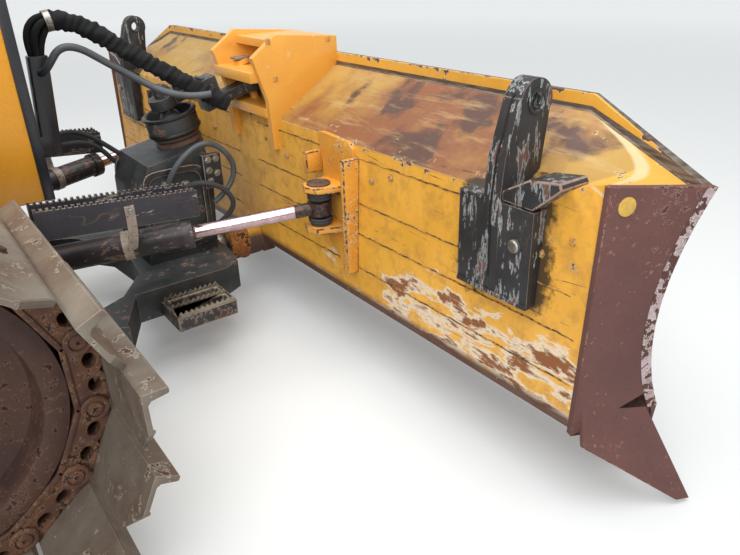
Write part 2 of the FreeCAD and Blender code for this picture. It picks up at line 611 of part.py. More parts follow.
door_plate = slab("door_plate", (f"{DOOR.back} + {DOOR.gap}", f"{DOOR.front} - {DOOR.gap}"),
                  ("cab_half - 45", "cab_half"),
                  (f"{DOOR.low} + {DOOR.gap}", f"{DOOR.high} - {DOOR.gap}"))
door_light = slab("door_light", (f"{DOOR.back} + 75", f"{DOOR.front} - 75"),
                  ("cab_half - 50", "cab_half + 5"),
                  (f"{DOOR.low} + 560", f"{DOOR.high} - 75"))
door_pane = slab("door_pane", (f"{DOOR.back} + 75", f"{DOOR.front} - 75"),
                 ("cab_half - 20 - pane", "cab_half - 20"),
                 (f"{DOOR.low} + 560", f"{DOOR.high} - 75"))
handle = slab("handle", (f"{DOOR.front} - 70", f"{DOOR.front} - 50"), ("cab_half", "cab_half + 35"),
              (f"{DOOR.low} + 420", f"{DOOR.low} + 540"))
knuckles, hinges = [], []
for i, height in enumerate(("cab_floor + 200", "cab_top - 320")):
    knuckles.append(bar(f"knuckle_{i}", "Z", (DOOR.back, "cab_half + 12"), height, f"{height} + 60", "12"))
    knuckles.append(slab(f"strap_{i}", (DOOR.back, f"{DOOR.back} + 90"), ("cab_half", "cab_half + 12"),
                         (height, f"{height} + 60")))
    hinges.append(bar(f"hinge_pin_{i}", "Z", (DOOR.back, "cab_half + 12"), f"{height} - 12",
                      f"{height} + 72", "6"))
    for word, low in (("low", f"{height} - 12"), ("high", f"{height} + 61")):
        hinges.append(slab(f"hinge_{word}_{i}", (f"{DOOR.back} - 40", f"{DOOR.back} + 6"),
                           ("cab_half", "cab_half + 18"),
                           (low, f"{low} + 11")))
hinge_bore = bar("hinge_bore", "Z", (DOOR.back, "cab_half + 12"), "cab_floor", "cab_top", "6 + play")
door = cut("door_drilled", fuse("door_body", cut("door_frame", door_plate, door_light), handle, *knuckles),
           hinge_bore)
cab_hinges = fuse("cab_hinges", *hinges)
node("cab", fuse("cab", cab_walls, cab_hinges, mirror("cab_hinges_right", cab_hinges)))
node("door_left", door)
node("door_right", mirror("door_right", door))
node("door_glass_left", door_pane)
node("door_glass_right", mirror("door_glass_right", door_pane))

roof = slab("roof_plate", ("cab_back - 60", "cab_front + 40"), ("-(cab_half + 50)", "cab_half + 50"),
            ("cab_top", "cab_top + roof_thick"))
roof_soft = doc.addObject("Part::Chamfer", "roof")
roof_soft.Base = roof
roof_soft.Edges = [(i, 45, 45) for i in (2, 6, 10, 12)]
node("roof", roof_soft)

seat_base = slab("seat_base", ("seat_back", "seat_front"), ("-(pad_half - 40)", "pad_half - 40"),
                 ("cab_floor", "cab_floor + seat_rise"))
node("seat_base", seat_base)
pad_top = "cab_floor + seat_rise + pad_thick"
cushion = slab("cushion", ("seat_back - 20", "seat_front + pad_over"), ("-pad_half", "pad_half"),
               ("cab_floor + seat_rise + play", pad_top))
back_side = [("seat_back - 20", pad_top), ("seat_back - 20 + back_thick", pad_top),
             ("seat_back - 20 + back_thick - back_lean", f"{pad_top} + back_high"),
             ("seat_back - 20 + back_thick - back_lean - back_tip", f"{pad_top} + back_high")]
backrest = outline("backrest", "XZ", back_side, "-(pad_half - 10)", "pad_half - 10")
node("seat", fuse("seat", cushion, backrest))
consoles = slab("console_side", ("-1150", "-650"), ("console_in", "console_out"),
                ("cab_floor", "cab_floor + console_rise"))
lever = bar("lever", "Z", ("-720", "345"), "cab_floor + console_rise", "cab_floor + console_rise + 140",
            "14")
knob = bar("knob", "Z", ("-720", "345"), "cab_floor + console_rise + 140", "cab_floor + console_rise + 200",
           "26")
node("consoles", both("consoles", fuse("console_left", consoles, lever, knob)))

# Deck plate with its steps, fuel tank, stack, air cleaner, lamps, hitch and rails
deck_plan = [("tail_x + 20", "-deck_half"), ("deck_front", "-deck_half"),
             ("deck_front", "-(hood_wide + 20)"),
             ("cab_front - play", "-(hood_wide + 20)"), ("cab_front - play", "hood_wide + 20"),
             ("deck_front", "hood_wide + 20"), ("deck_front", "deck_half"), ("tail_x + 20", "deck_half")]
deck = outline("deck_plate", "XY", deck_plan, "cab_floor - deck_thick", "cab_floor")
node("deck", deck)
tank_side = [("tail_x + 30", "cab_floor"), ("cab_back - 30", "cab_floor"),
             ("cab_back - 30", "waist_z - 40"),
             ("cab_back - 200", "waist_z"), ("tail_x + 180", "waist_z - 80"),
             ("tail_x + 30", "waist_z - 300")]
tank = outline("tank", "XZ", tank_side, "-tank_half", "tank_half")
filler = bar("filler", "Z", ("cab_back - 330", "-350"), "waist_z - 60", "waist_z + 25", "60")
node("fuel_tank", fuse("fuel_tank", tank, filler))
stack_pipe = bar("stack_pipe", "Z", STACK, foot_z[STACK[0]], f"{foot_z[STACK[0]]} + 871", "stack_r")
stack_shield = bar("stack_shield", "Z", STACK, f"{foot_z[STACK[0]]} + 251", f"{foot_z[STACK[0]]} + 651",
                   "shield_r")
node("exhaust_stack", fuse("exhaust_stack", stack_pipe, stack_shield))
cleaner_neck = bar("cleaner_neck", "Z", CLEANER, foot_z[CLEANER[0]], f"{foot_z[CLEANER[0]]} + 267",
                   "neck_r")
cleaner_bowl = bar("cleaner_bowl", "Z", CLEANER, f"{foot_z[CLEANER[0]]} + 267",
                   f"{foot_z[CLEANER[0]]} + 417", "bowl_r")
node("air_cleaner", fuse("air_cleaner", cleaner_neck, cleaner_bowl))
hitch_side = [("tail_x", "430"), ("tail_x", "700"), ("tail_x - 170", "700"), ("tail_x - 208", "660"),
              ("tail_x - 208", "470"), ("tail_x - 170", "430")]
hitch_block = outline("hitch_block", "XZ", hitch_side, "-140", "140")
hitch_slot = slab("hitch_slot", ("tail_x - 220", "tail_x - 60"), ("-150", "150"), ("510", "570"))
hitch_hole = bar("hitch_hole", "Z", ("tail_x - 135", "0"), "400", "720", "26")
node("hitch", cut("hitch", hitch_block, hitch_slot, hitch_hole))

# C-frame: two arms, a forked nose, the tower with its cup and the brackets of the angle cylinders
arm_side = [(back("arm_pivot"), "arm_pivot_z + arm_eye - 15"), (back("1150"), "430"),
            (back("800"), "nose_high"),
            (back("800"), "nose_low"), (back("1200"), "290"),
            (back("arm_pivot"), "arm_pivot_z - arm_eye + 15")]
arm = outline("arm", "XZ", arm_side, "arm_in", "arm_out")
arm_end = bar("arm_end", "Y", (back("arm_pivot"), "arm_pivot_z"), "arm_in", "arm_out", "arm_eye")
arm_bore = bar("arm_bore", "Y", (back("arm_pivot"), "arm_pivot_z"), "arm_in - 5", "arm_out + 5",
               "pivot_pin + play")
nose_plan = [(back("600"), "0"), (back("620"), "200"), (back("740"), "370"), (back("950"), "arm_in"),
             (back("950"), "arm_out"), (back("810"), "arm_out"), (back("700"), "nose_half"),
             (back("330"), "nose_half"),
             (back("255"), "350"), (back("225"), "200"), (back("225"), "0")]
nose = outline("nose", "XY", nose_plan, "nose_low", "nose_high")
base_x = back("angle_base_back")
ears = [slab("ear_low", (f"{base_x} - 55", f"{base_x} + 42"), ("angle_base_y - 40", "arm_in + 40"),
             ("angle_base_z - 62", "angle_base_z - 36")),
        slab("ear_high", (f"{base_x} - 55", f"{base_x} + 42"), ("angle_base_y - 40", "arm_in + 40"),
             ("angle_base_z + 36", "angle_base_z + 62")),
        slab("ear_web", (f"{base_x} - 100", f"{base_x} - 55"), ("angle_base_y - 40", "arm_in + 40"),
             ("380", "angle_base_z + 62"))]
lug_side = [(back("lift_pin_back + 110"), "lug_foot"), (back("lift_pin_back - 110"), "lug_foot"),
            (back("lift_pin_back - 45"), "lift_pin_z + 45"),
            (back("lift_pin_back + 45"), "lift_pin_z + 45")]
lug_in = outline("lug_in", "XZ", lug_side, "arm_in", "lift_y - lug_gap / 2")
lug_out = outline("lug_out", "XZ", lug_side, "lift_y + lug_gap / 2", "arm_out")
lug_pin = bar("lug_pin", "Y", (back("lift_pin_back"), "lift_pin_z"), "lift_y - lug_gap / 2",
              "lift_y + lug_gap / 2", "lug_pin_r")
side_frame = fuse("side_frame", cut("arm_cut", fuse("arm_body", arm, arm_end), arm_bore), nose, *ears)
BALL = Vector(g.blade_x - g.ball_back, 0, g.ball_z)
CUP = Vector(g.blade_x - g.cup_back, 0, g.cup_z)
SWIVEL = (CUP - BALL).normalize()
ANGLE_BASE = Vector(g.blade_x - g.angle_base_back, g.angle_base_y, g.angle_base_z)
ANGLE_EYE = Vector(g.blade_x - g.angle_eye_back, g.angle_eye_y, g.angle_eye_z)
ANGLE_WAY = (ANGLE_EYE - ANGLE_BASE).normalize()
# A base pin turns square to its cylinder and to the way that the rod's eye is carried by the swivel
ANGLE_TURN = ANGLE_WAY.cross(SWIVEL.cross(ANGLE_EYE - BALL)).normalize()
ball_seat = made("ball_seat", Part.makeSphere(g.ball_r + g.play, BALL))
pin_bore = made("pin_bore", Part.makeCylinder(g.angle_pin_r + g.play, 160, ANGLE_BASE - ANGLE_TURN * 80,
                                              ANGLE_TURN))
both_arms = fuse("both_arms", side_frame, mirror("side_frame_right", side_frame))
node("c_frame", cut("c_frame", both_arms, ball_seat, pin_bore, mirror("pin_bore_right", pin_bore)))
lugs = [cut(f"{part.Name}_seated", part, nodes["c_frame"]) for part in (lug_in, lug_out)] + [lug_pin]
doc.recompute()
lugs = [part.Shape.Solids[0] for part in lugs]
node("lift_lugs", made("lift_lugs", Part.makeCompound(lugs + [part.mirror(Vector(),
                                                            Vector(0, 1, 0)) for part in lugs])))

tower_side = [(back("560"), "nose_high"), (back("545"), "640"), (back("500"), "745"), (back("420"), "760"),
              (back("262"), "790"), (back("235"), "700"), (back("260"), "nose_high")]
tower_block = outline("tower_block", "XZ", tower_side, "-tower_half", "tower_half")


def leaning(name, low, high, radius):
    """Cylinder on the swivel axis, from low to high along it as measured from the cup's centre."""
    return made(name, Part.makeCylinder(radius, high - low, CUP + SWIVEL * low, SWIVEL))


cup_low = -g.cup_high / 2
tower = fuse("tower_full", tower_block, leaning("cup_neck", -150, cup_low, 84),
             leaning("cup_ring", cup_low, g.cup_high / 2, g.cup_r))
cup_seat = made("cup_seat", Part.makeSphere(g.cup_ball_r + g.play, CUP))
node("tower", cut("tower", tower, leaning("cup_bore", cup_low + 14, 200, g.cup_r - g.cup_wall), cup_seat))

step_box = slab("step_box", (back("613"), back("370")), ("nose_half", "564"), ("nose_low", "280"))
step_slots = [slab(f"step_slot_{i}", (back("590"), back("393")),
                   (f"nose_half + 22 + {i} * 76", f"nose_half + 76 + {i} * 76"),
                   ("nose_low - 5", "285")) for i in range(2)]
node("nose_steps", both("nose_steps", cut("step_left", step_box, *step_slots)))

# Swivel: the lower ball and the ball pin in the cup, which carry the pitch link
ball = made("ball", Part.makeSphere(g.ball_r, BALL))
node("lower_ball", ball)
EYE = Vector(g.blade_x + g.link_eye_x, 0, g.link_eye_z)
ALONG = (EYE - CUP).normalize()
LINK_UP = ALONG.cross(Vector(0, 1, 0)) * -1
if LINK_UP.z < 0:
    LINK_UP = LINK_UP * -1
cup_pin = Part.makeSphere(g.cup_ball_r, CUP).fuse(Part.makeCylinder(g.cup_pin_r, g.cup_pin_long, CUP,
                                                            LINK_UP))
node("cup_pin", made("cup_pin", cup_pin))


def eye_disc(centre, normal, radius, thick):
    """Cylinder centred on a point."""
    return Part.makeCylinder(radius, thick, centre - normal * (thick / 2), normal)


lift_off = LINK_UP * 86
link_turn = Rotation(ALONG, Vector(0, 1, 0), LINK_UP, "XZY")
reach = (EYE - CUP).Length
link_rear = eye_disc(CUP + lift_off, LINK_UP, 58, 44)
link_front = eye_disc(EYE, LINK_UP, 55, 44)


def link_box(x, width, z):
    """Block of the pitch link, from its own line between the two pins."""
    block = Part.makeBox(x[1] - x[0], width, z[1] - z[0], Vector(x[0], -width / 2, z[0]))
    block.Placement = Placement(CUP, link_turn)
    return block


link_shape = link_rear.fuse([link_box((40, 235), 84, (66, 106)), link_box((150, 235), 84, (-22, 106)),
                             link_box((150, reach - 20), 72, (-22, 22)), link_front])
link_holes = eye_disc(CUP + lift_off, LINK_UP, g.cup_pin_r + g.play,
                      90).fuse(eye_disc(EYE, LINK_UP, g.link_pin_r + 9, 200))
link_shape = link_shape.cut(link_holes).removeSplitter()
node("pitch_link", made("pitch_link", link_shape))

# Blade: shell with bevelled top corners, flared end plates and bits, cutting edge and brackets


def section(top, crest, lip, side):
    """Cross section of the shell at a place on the end plane, or straight across where side is fixed."""
    front = [(crest[0], crest[1]), (230, 790), (185, 600), (205, 420), (262, 262), (262, 235),
             (0, g.back_low)]
    rear = [top, (crest[0] - 25, crest[1] - lip - 15), (crest[0] - 25, crest[1])]
    loop = []
    for x, z in rear + front:
        y = side if side else g.blade_half + g.flare * x
        loop.append(Vector(g.blade_x + x, y, z))
    return Part.makePolygon(loop + loop[:1])


CREST = (g.crest_x, g.crest_z)
BEVEL_Y = g.blade_half - g.bevel_in
middle = section((g.fold_x, g.fold_z), CREST, 30, BEVEL_Y)
centre = Part.Face(middle).extrude(Vector(0, -2 * BEVEL_Y, 0))
end = section((g.fold_x, g.corner_z), (g.horn_x, g.horn_z), 5, None)
wing = Part.makeLoft([middle, end], True, True)
other = wing.mirror(Vector(), Vector(0, 1, 0))
shell_shape = centre.fuse([wing, other]).removeSplitter()
drum = Part.makeCylinder(g.drum_r, g.ball_back - 25, Vector(g.blade_x - g.ball_back + 25, 0, g.ball_z),
                         Vector(1, 0, 0))
socket = Part.makeSphere(g.ball_r + g.play, BALL)
drum_back = drum.fuse(Part.makeBox(60, 2 * g.drum_r, 90, Vector(g.blade_x - 2, -g.drum_r, g.ball_z - 60)))
node("blade", made("blade", shell_shape.fuse(drum_back).cut(socket).removeSplitter()))


def on_end(x, z, out=0.0):
    """Point on the left end plane, or out beyond it."""
    normal = Vector(-g.flare, 1, 0).normalize()
    return Vector(g.blade_x + x, g.blade_half + g.flare * x, z) + normal * out


def end_plate():
    """Left end plate with its scooped front edge, and the end bit below it."""
    normal = Vector(-g.flare, 1, 0).normalize() * g.end_plate
    scoop = Part.Arc(on_end(g.horn_x, g.horn_z), on_end(192, 600), on_end(257, 305))
    wire = Part.Wire([Part.makeLine(on_end(257, 305), on_end(250, 240)),
                      Part.makeLine(on_end(250, 240), on_end(0, 262)),
                      Part.makeLine(on_end(0, 262), on_end(g.fold_x - 12, g.corner_z)),
                      Part.makeLine(on_end(g.fold_x - 12, g.corner_z), on_end(g.horn_x, g.horn_z)),
                      scoop.toShape()])
    plate = Part.Face(wire).extrude(normal)
    top_rear, top_front = on_end(25, 345, g.end_plate), on_end(222, 308, g.end_plate)
    tip = Vector(g.blade_x + 306, g.blade_half + 235, g.tip_z)
    slope_in = (top_front - top_rear).cross(tip - top_rear).normalize()

    def settle(point):
        """The nearest point in the bit's plane."""
        return point - slope_in * (point - top_rear).dot(slope_in)

    corners = [top_rear, top_front, tip, settle(Vector(g.blade_x + 262, g.blade_half + 220, g.tip_z + 6)),
               settle(Vector(g.blade_x + 4, g.blade_half + 55, 240))]
    if slope_in.y > 0:
        slope_in = slope_in * -1
    bit = prism(corners, slope_in * 20)
    return made("end_plate_left", plate.fuse(bit).removeSplitter())


node("end_plates", both("end_plates", end_plate()))
edge_side = [(back("-240"), "235"), (back("-262"), "235"), (back("-330"), "tip_z + 20"),
             (back("-302"), "tip_z + 20")]
node("cutting_edge", outline("cutting_edge", "XZ", edge_side, "-blade_half - 20", "blade_half + 20"))

mast_side = [(back("20"), "600"), (back("26"), "850"), (back("12"), "985"), (back("-32"), "1130"),
             (back("-95"), "1150"),
             (back("-150"), "1110"), (back("-125"), "900"), (back("-45"), "820"), (back("-20"), "600")]
mast_y = ("blade_half - 336", "blade_half - 276")
mast_plate = outline("mast_plate", "XZ", mast_side, *mast_y)
mast_top = bar("mast_top", "Y", (back("-95"), "1118"), *mast_y, "60")
mast_hole = bar("mast_hole", "Y", (back("-95"), "1118"), "blade_half - 350", "blade_half - 260", "24")
mast_foot = slab("mast_foot", (back("22"), back("-60")), ("blade_half - 430", "blade_half - 160"),
                 ("590", "868"))
mast = cut("mast_left", cut("mast_drilled", fuse("mast_solid", mast_plate, mast_top, mast_foot), mast_hole),
           nodes["blade"])
node("mast_brackets", both("mast_brackets", mast))

centre_side = [(back("-335"), "1170"), (back("-49"), "1196"), (back("63"), "1118"), (back("9"), "947"),
               (back("0"), "746"),
               (back("-120"), "746"), (back("-335"), "1050")]
near_plate = outline("centre_near", "XZ", centre_side, "-290", "-260")
far_plate = outline("centre_far", "XZ", centre_side, "72", "102")
ear_side = (back("66"), back("-200"))
ear_top = slab("centre_ear", ear_side, ("-261", "73"), ("link_eye_z + 44", "link_eye_z + 84"))
ear_low = slab("centre_ear_low", (back("10"), back("-200")), ("-261", "73"),
               ("link_eye_z - 100", "link_eye_z - 62"))
lid = slab("centre_lid", (back("-50"), back("-334")), ("-261", "73"), ("1140", "1171"))
pin_foot = EYE - LINK_UP * 96
hinge_pin = made("link_pin", Part.makeCylinder(g.link_pin_r, 92 + 96, pin_foot, LINK_UP))
pin_head = made("link_pin_head", Part.makeCylinder(34, 20, EYE + LINK_UP * 92, LINK_UP))
bracket = fuse("centre_solid", near_plate, far_plate, ear_top, ear_low, lid, hinge_pin, pin_head)
node("centre_bracket", cut("centre_bracket", bracket, nodes["blade"]))

eye_x = back("angle_eye_back")
ear_plan = [(back("-60"), "angle_eye_y - 75"), (eye_x, "angle_eye_y - 63"),
            (f"{eye_x} - 45", "angle_eye_y - 45"),
            (f"{eye_x} - 63", "angle_eye_y"), (f"{eye_x} - 45", "angle_eye_y + 45"),
            (eye_x, "angle_eye_y + 63"),
            (back("-60"), "angle_eye_y + 115")]
clevis_top = outline("clevis_top", "XY", ear_plan, "angle_eye_z + 66", "angle_eye_z + 90")
clevis_low = outline("clevis_low", "XY", ear_plan, "angle_eye_z - 90", "angle_eye_z - 66")
cheek = slab("clevis_cheek", (back("45"), back("-40")), ("angle_eye_y + 112", "angle_eye_y + 136"),
             ("390", "829"))
fin = slab("clevis_fin", (back("50"), back("-40")), ("angle_eye_y - 125", "angle_eye_y - 100"),
           ("730", "812"))
clevis = cut("clevis_left", fuse("clevis_solid", clevis_top, clevis_low, cheek, fin), nodes["blade"])
node("angle_clevises", both("angle_clevises", clevis))


def jack(base, tip, radius, bore, start, gland, collar):
    """Cylinder tube from its base pin towards its rod's pin, open at the gland for a rod of that bore."""
    way = (tip - base).normalize()
    tube = Part.makeCylinder(radius, gland - start, base + way * start, way)
    head = Part.makeCylinder(radius + 8, 36, base + way * (gland - collar), way)
    hollow = Part.makeCylinder(bore, gland - start, base + way * (start + 18), way)
    return tube.fuse(head).cut(hollow), way


def side_shape(shape, side):
    """A left shape, or its mirror image for the right side."""
    return shape if side > 0 else shape.mirror(Vector(), Vector(0, 1, 0))


# Lift cylinders: tubes hung by trunnions on uprights of the main frame, rods down to the C-frame
upright_x, upright_z = back("lift_top_back"), "lift_top_z"
upright = slab("upright", (f"{upright_x} - 75", f"{upright_x} + 75"), ("390", "465"),
               ("560", f"{upright_z} + 75"))
upright_foot = slab("upright_foot", (f"{upright_x} - 75", f"{upright_x} + 75"), ("frame_half", "391"),
                    ("560", "frame_deck"))
upright_bore = bar("upright_bore", "Y", (upright_x, upright_z), "380", "480", "30 + play")
node("lift_uprights", both("lift_uprights", cut("upright_left",
                                                fuse("upright_solid", upright, upright_foot),
                                                upright_bore)))
LIFT_TOP = Vector(g.blade_x - g.lift_top_back, g.lift_y, g.lift_top_z)
LIFT_PIN = Vector(g.blade_x - g.lift_pin_back, g.lift_y, g.lift_pin_z)
tube, way = jack(LIFT_TOP, LIFT_PIN, g.lift_barrel_r, g.lift_rod_r + g.play, -300, 345, 30)
stub = Part.makeCylinder(30, g.lift_y - 395, LIFT_TOP - Vector(0, g.lift_y - 395, 0), Vector(0, 1, 0))
band = Part.makeCylinder(g.lift_barrel_r + 12, 90, LIFT_TOP - way * 45, way)
core = Part.makeCylinder(g.lift_rod_r + g.play, 620, LIFT_TOP - way * 282, way)
lift_tube = tube.fuse([stub, band]).cut(core).removeSplitter()
rod_eye = Part.makeCylinder(55, 56, LIFT_PIN - Vector(0, 28, 0), Vector(0, 1, 0))
rod = Part.makeCylinder(g.lift_rod_r, g.lift_rod_long, LIFT_PIN, way * -1).cut(rod_eye)
rod_eye = rod_eye.cut(Part.makeCylinder(g.lug_pin_r + 12, 80, LIFT_PIN - Vector(0, 40, 0), Vector(0, 1, 0)))
rod = Part.makeCompound([rod, rod_eye])
for side, word in ((1, "left"), (-1, "right")):
    node(f"lift_barrel_{word}", made(f"lift_barrel_{word}", side_shape(lift_tube, side)))
    node(f"lift_rod_{word}", made(f"lift_rod_{word}", side_shape(rod, side)))

# Angle cylinders: ball pins on the C-frame, tubes with a step on each, rods out to the blade's clevises
tube, way = jack(ANGLE_BASE, ANGLE_EYE, g.angle_barrel_r, g.angle_rod_r + g.play, 84, g.angle_head, 36)
socket_eye = eye_disc(ANGLE_BASE, SWIVEL, 44, 42).fuse(Part.makeCylinder(24, 92, ANGLE_BASE, way))
hollow = Part.makeSphere(30 + g.play, ANGLE_BASE).fuse(eye_disc(ANGLE_BASE, SWIVEL, 24, 90))
angle_tube = tube.fuse(socket_eye).cut(hollow).removeSplitter()
ball_pin = Part.makeSphere(30, ANGLE_BASE).fuse(eye_disc(ANGLE_BASE, ANGLE_TURN, g.angle_pin_r, 140))
eye_up = Vector(0, 0, 1) - way * way.z
eye_up.normalize()
ball_eye = eye_disc(ANGLE_EYE, eye_up, 45, 50).fuse(eye_disc(ANGLE_EYE, eye_up, 20, 60))
angle_rod = Part.makeCylinder(g.angle_rod_r, g.angle_rod_long, ANGLE_EYE, way * -1).fuse(ball_eye)
STEP_TOP, STEP_LOW = (-1000, 810, -483, 767), (-1000, 706, -483, 662)


def step_piece(low, high):
    """Upright plate of the step between two distances to the side."""
    ax, az, bx, bz = STEP_TOP
    cx, cz, dx, dz = STEP_LOW
    corners = [Vector(g.blade_x + x, low, z) for x, z in ((ax, az), (bx, bz), (dx, dz), (cx, cz))]
    return prism(corners, Vector(0, high - low, 0))


step = step_piece(512, 522).fuse([step_piece(592, 602)] + [
    Part.makeBox(26, 76, 40, Vector(g.blade_x + x, 520, 710)) for x in (-990, -760, -530)])
strap_at = ANGLE_BASE + way * 330
strap = Part.makeBox(44, 40, 130, Vector(strap_at.x - 22, strap_at.y - 6, strap_at.z + 20))
step = step.fuse(strap).cut(Part.makeCylinder(g.angle_barrel_r, 900, ANGLE_BASE, way)).removeSplitter()
for side, word in ((1, "left"), (-1, "right")):
    node(f"angle_pin_{word}", made(f"angle_pin_{word}", side_shape(ball_pin, side)))
    node(f"angle_barrel_{word}", made(f"angle_barrel_{word}", side_shape(angle_tube, side)))
    node(f"angle_step_{word}", made(f"angle_step_{word}", side_shape(step, side)))
    node(f"angle_rod_{word}", made(f"angle_rod_{word}", side_shape(angle_rod.removeSplitter(), side)))

# Tilt cylinder: tube on a bracket of the blade, rod to the lug on the cup's pin
TILT_BASE = Vector(g.blade_x - 60, 680, 845)
TILT_EYE = Vector(g.blade_x - 315, 140, 960)
tilt_way = (TILT_EYE - TILT_BASE).normalize()
tilt_up = tilt_way.cross((TILT_EYE - BALL).cross(Vector(1, 0, 0))).normalize()
tilt_up = tilt_up if tilt_up.z > 0 else tilt_up * -1
tube, way = jack(TILT_BASE, TILT_EYE, g.tilt_barrel_r, g.tilt_rod_r + g.play, 62, 400, 36)
tilt_neck = Part.makeCylinder(g.tilt_rod_r, 70, TILT_BASE, way)
tilt_tube = tube.fuse([eye_disc(TILT_BASE, tilt_up, 40, 46), tilt_neck])
tilt_tube = tilt_tube.cut(eye_disc(TILT_BASE, tilt_up, g.tilt_pin_r + g.play, 60)).removeSplitter()
tilt_rod = Part.makeCylinder(g.tilt_rod_r, g.tilt_rod_long, TILT_EYE,
                             way * -1).fuse(eye_disc(TILT_EYE, tilt_up, 36, 40))
tilt_rod = tilt_rod.cut(eye_disc(TILT_EYE, tilt_up, g.fork_pin_r + 8, 60)).removeSplitter()
tilt_pin = eye_disc(TILT_BASE, tilt_up, g.tilt_pin_r, 112)
tilt_ears = [Part.makeBox(150, 76, 24, Vector(0, -38, z)) for z in (32, -56)]
for ear in tilt_ears:
    ear.Placement = Placement(TILT_BASE, Rotation(Vector(1, 0, 0), Vector(0, 1, 0), tilt_up, "ZXY"))
tilt_hold = tilt_pin.fuse(tilt_ears)
tilt_hold = tilt_hold.cut(nodes["blade"].Shape)
tilt_hold = max(tilt_hold.Solids, key=lambda solid: solid.Volume)
node("tilt_bracket", made("tilt_bracket", tilt_hold))
node("tilt_barrel", made("tilt_barrel", tilt_tube))
node("tilt_rod", made("tilt_rod", tilt_rod))
# The cup's pin reaches the rod through a fork: a plate above and below the rod's eye, and a pin through both
fork = [eye_disc(TILT_EYE, tilt_up, g.fork_pin_r, 80)]
for offset, root in ((-35, CUP + tilt_up * 34), (35, CUP + LINK_UP * (g.cup_pin_long - 6))):
    tip = TILT_EYE + tilt_up * offset
    fork.append(eye_disc(tip, tilt_up, 27, 10))
    span = tip - root
    strip = Part.makeBox(span.Length, 30, 10, Vector(0, -15, -5))
    strip.Placement = Placement(tip - span, Rotation(span, Vector(), tilt_up, "XZY"))
    fork.append(strip)
nodes["cup_pin"].Shape = nodes["cup_pin"].Shape.fuse(fork).removeSplitter()

# Lamps and hoses
lamps = []
lamp_low = g.cab_top + g.roof_thick
for x, way in ((g.cab_front - g.lamp_in, 1), (g.cab_back + g.lamp_in - 20, -1)):
    body = Part.makeCylinder(g.lamp_r, g.lamp_long, Vector(x, g.lamp_y, lamp_low + 75), Vector(way, 0, 0))
    stand = Part.makeBox(30, 30, g.lamp_r, Vector(x + (20 if way > 0 else -50), g.lamp_y - 15, lamp_low))
    lamps.append(body.fuse(stand).removeSplitter())
node("lamps", made("lamps", Part.makeCompound([side_shape(lamp, side) for lamp in lamps for side in (1,
                                                            -1)])))

HOSES = (
    ("hose_sleeve", 36, ((-772, 0, 1178.3), (-772, 0, 1290), (-620, -5, 1290), (-420, -60, 1130),
                         (-130, -170, 935))),
    ("hose_smooth", 14, ((-776, -30.3, 1120), (-776, -80, 1120), (-690, -90, 1235), (-520, -100, 1110),
                         (-340, -190, 985), (-225, -235, 1000))),
)


def hose(radius, route):
    """Round hose: straight runs joined by tangent arcs, turned at each middle point of the route."""
    points = [Vector(g.blade_x + x, y, z) for x, y, z in route]
    edges, start = [], points[0]
    for before, at, after in zip(points, points[1:], points[2:]):
        a, b = (before - at), (after - at)
        trim = 0.45 * min(a.Length, b.Length)
        a.normalize()
        b.normalize()
        first, last = at + a * trim, at + b * trim
        half = math.acos(max(-1, min(1, -a.dot(b)))) / 2
        bend = trim / math.tan(half)
        mid_way = (a + b).normalize()
        centre_at = at + mid_way * math.hypot(bend, trim)
        middle_at = centre_at - mid_way * bend
        edges.append(Part.makeLine(start, first))
        edges.append(Part.Arc(first, middle_at, last).toShape())
        start = last
    edges.append(Part.makeLine(start, points[-1]))
    path = Part.Wire(edges)
    profile = Part.Wire([Part.makeCircle(radius, points[0], points[1] - points[0])])
    return path.makePipeShell([profile], True, True)


for name, radius, route in HOSES:
    node(name, made(name, hose(radius, route)))

doc.recompute()
bad = [f"{thing.Name}: {thing.State}" for thing in doc.Objects if {"Invalid", "Error"} & set(thing.State)]
bad += [f"{thing.Name}: no valid shape" for thing in doc.Objects
        if hasattr(thing, "Shape") and (thing.Shape.isNull() or not thing.Shape.isValid())]
if bad:
    raise RuntimeError("; ".join(bad))
os.makedirs("parts", exist_ok=True)
for label, thing in nodes.items():
    thing.Shape.exportStep(f"parts/{label}.step")
box = FreeCAD.BoundBox()
for thing in nodes.values():
    box.add(thing.Shape.BoundBox)
print(f"{len(nodes)} nodes; x {box.XMin:.1f} to {box.XMax:.1f}, y {box.YMin:.1f} to {box.YMax:.1f}, "
      f"z {box.ZMin:.1f} to {box.ZMax:.1f}")
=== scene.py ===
"""Dresses the crawler bulldozer: worn paint, track chains, serrated steps, hoses, bolts and cab fittings.

Metres, in the part's own frame: X forward, Y to the driver's left, Z up.
"""
import json
import logging
import math
from dataclasses import dataclass, field
from enum import Enum
from functools import cache
from typing import Iterable, Sequence

import bmesh
import bpy
import numpy as np
from mathutils import Matrix

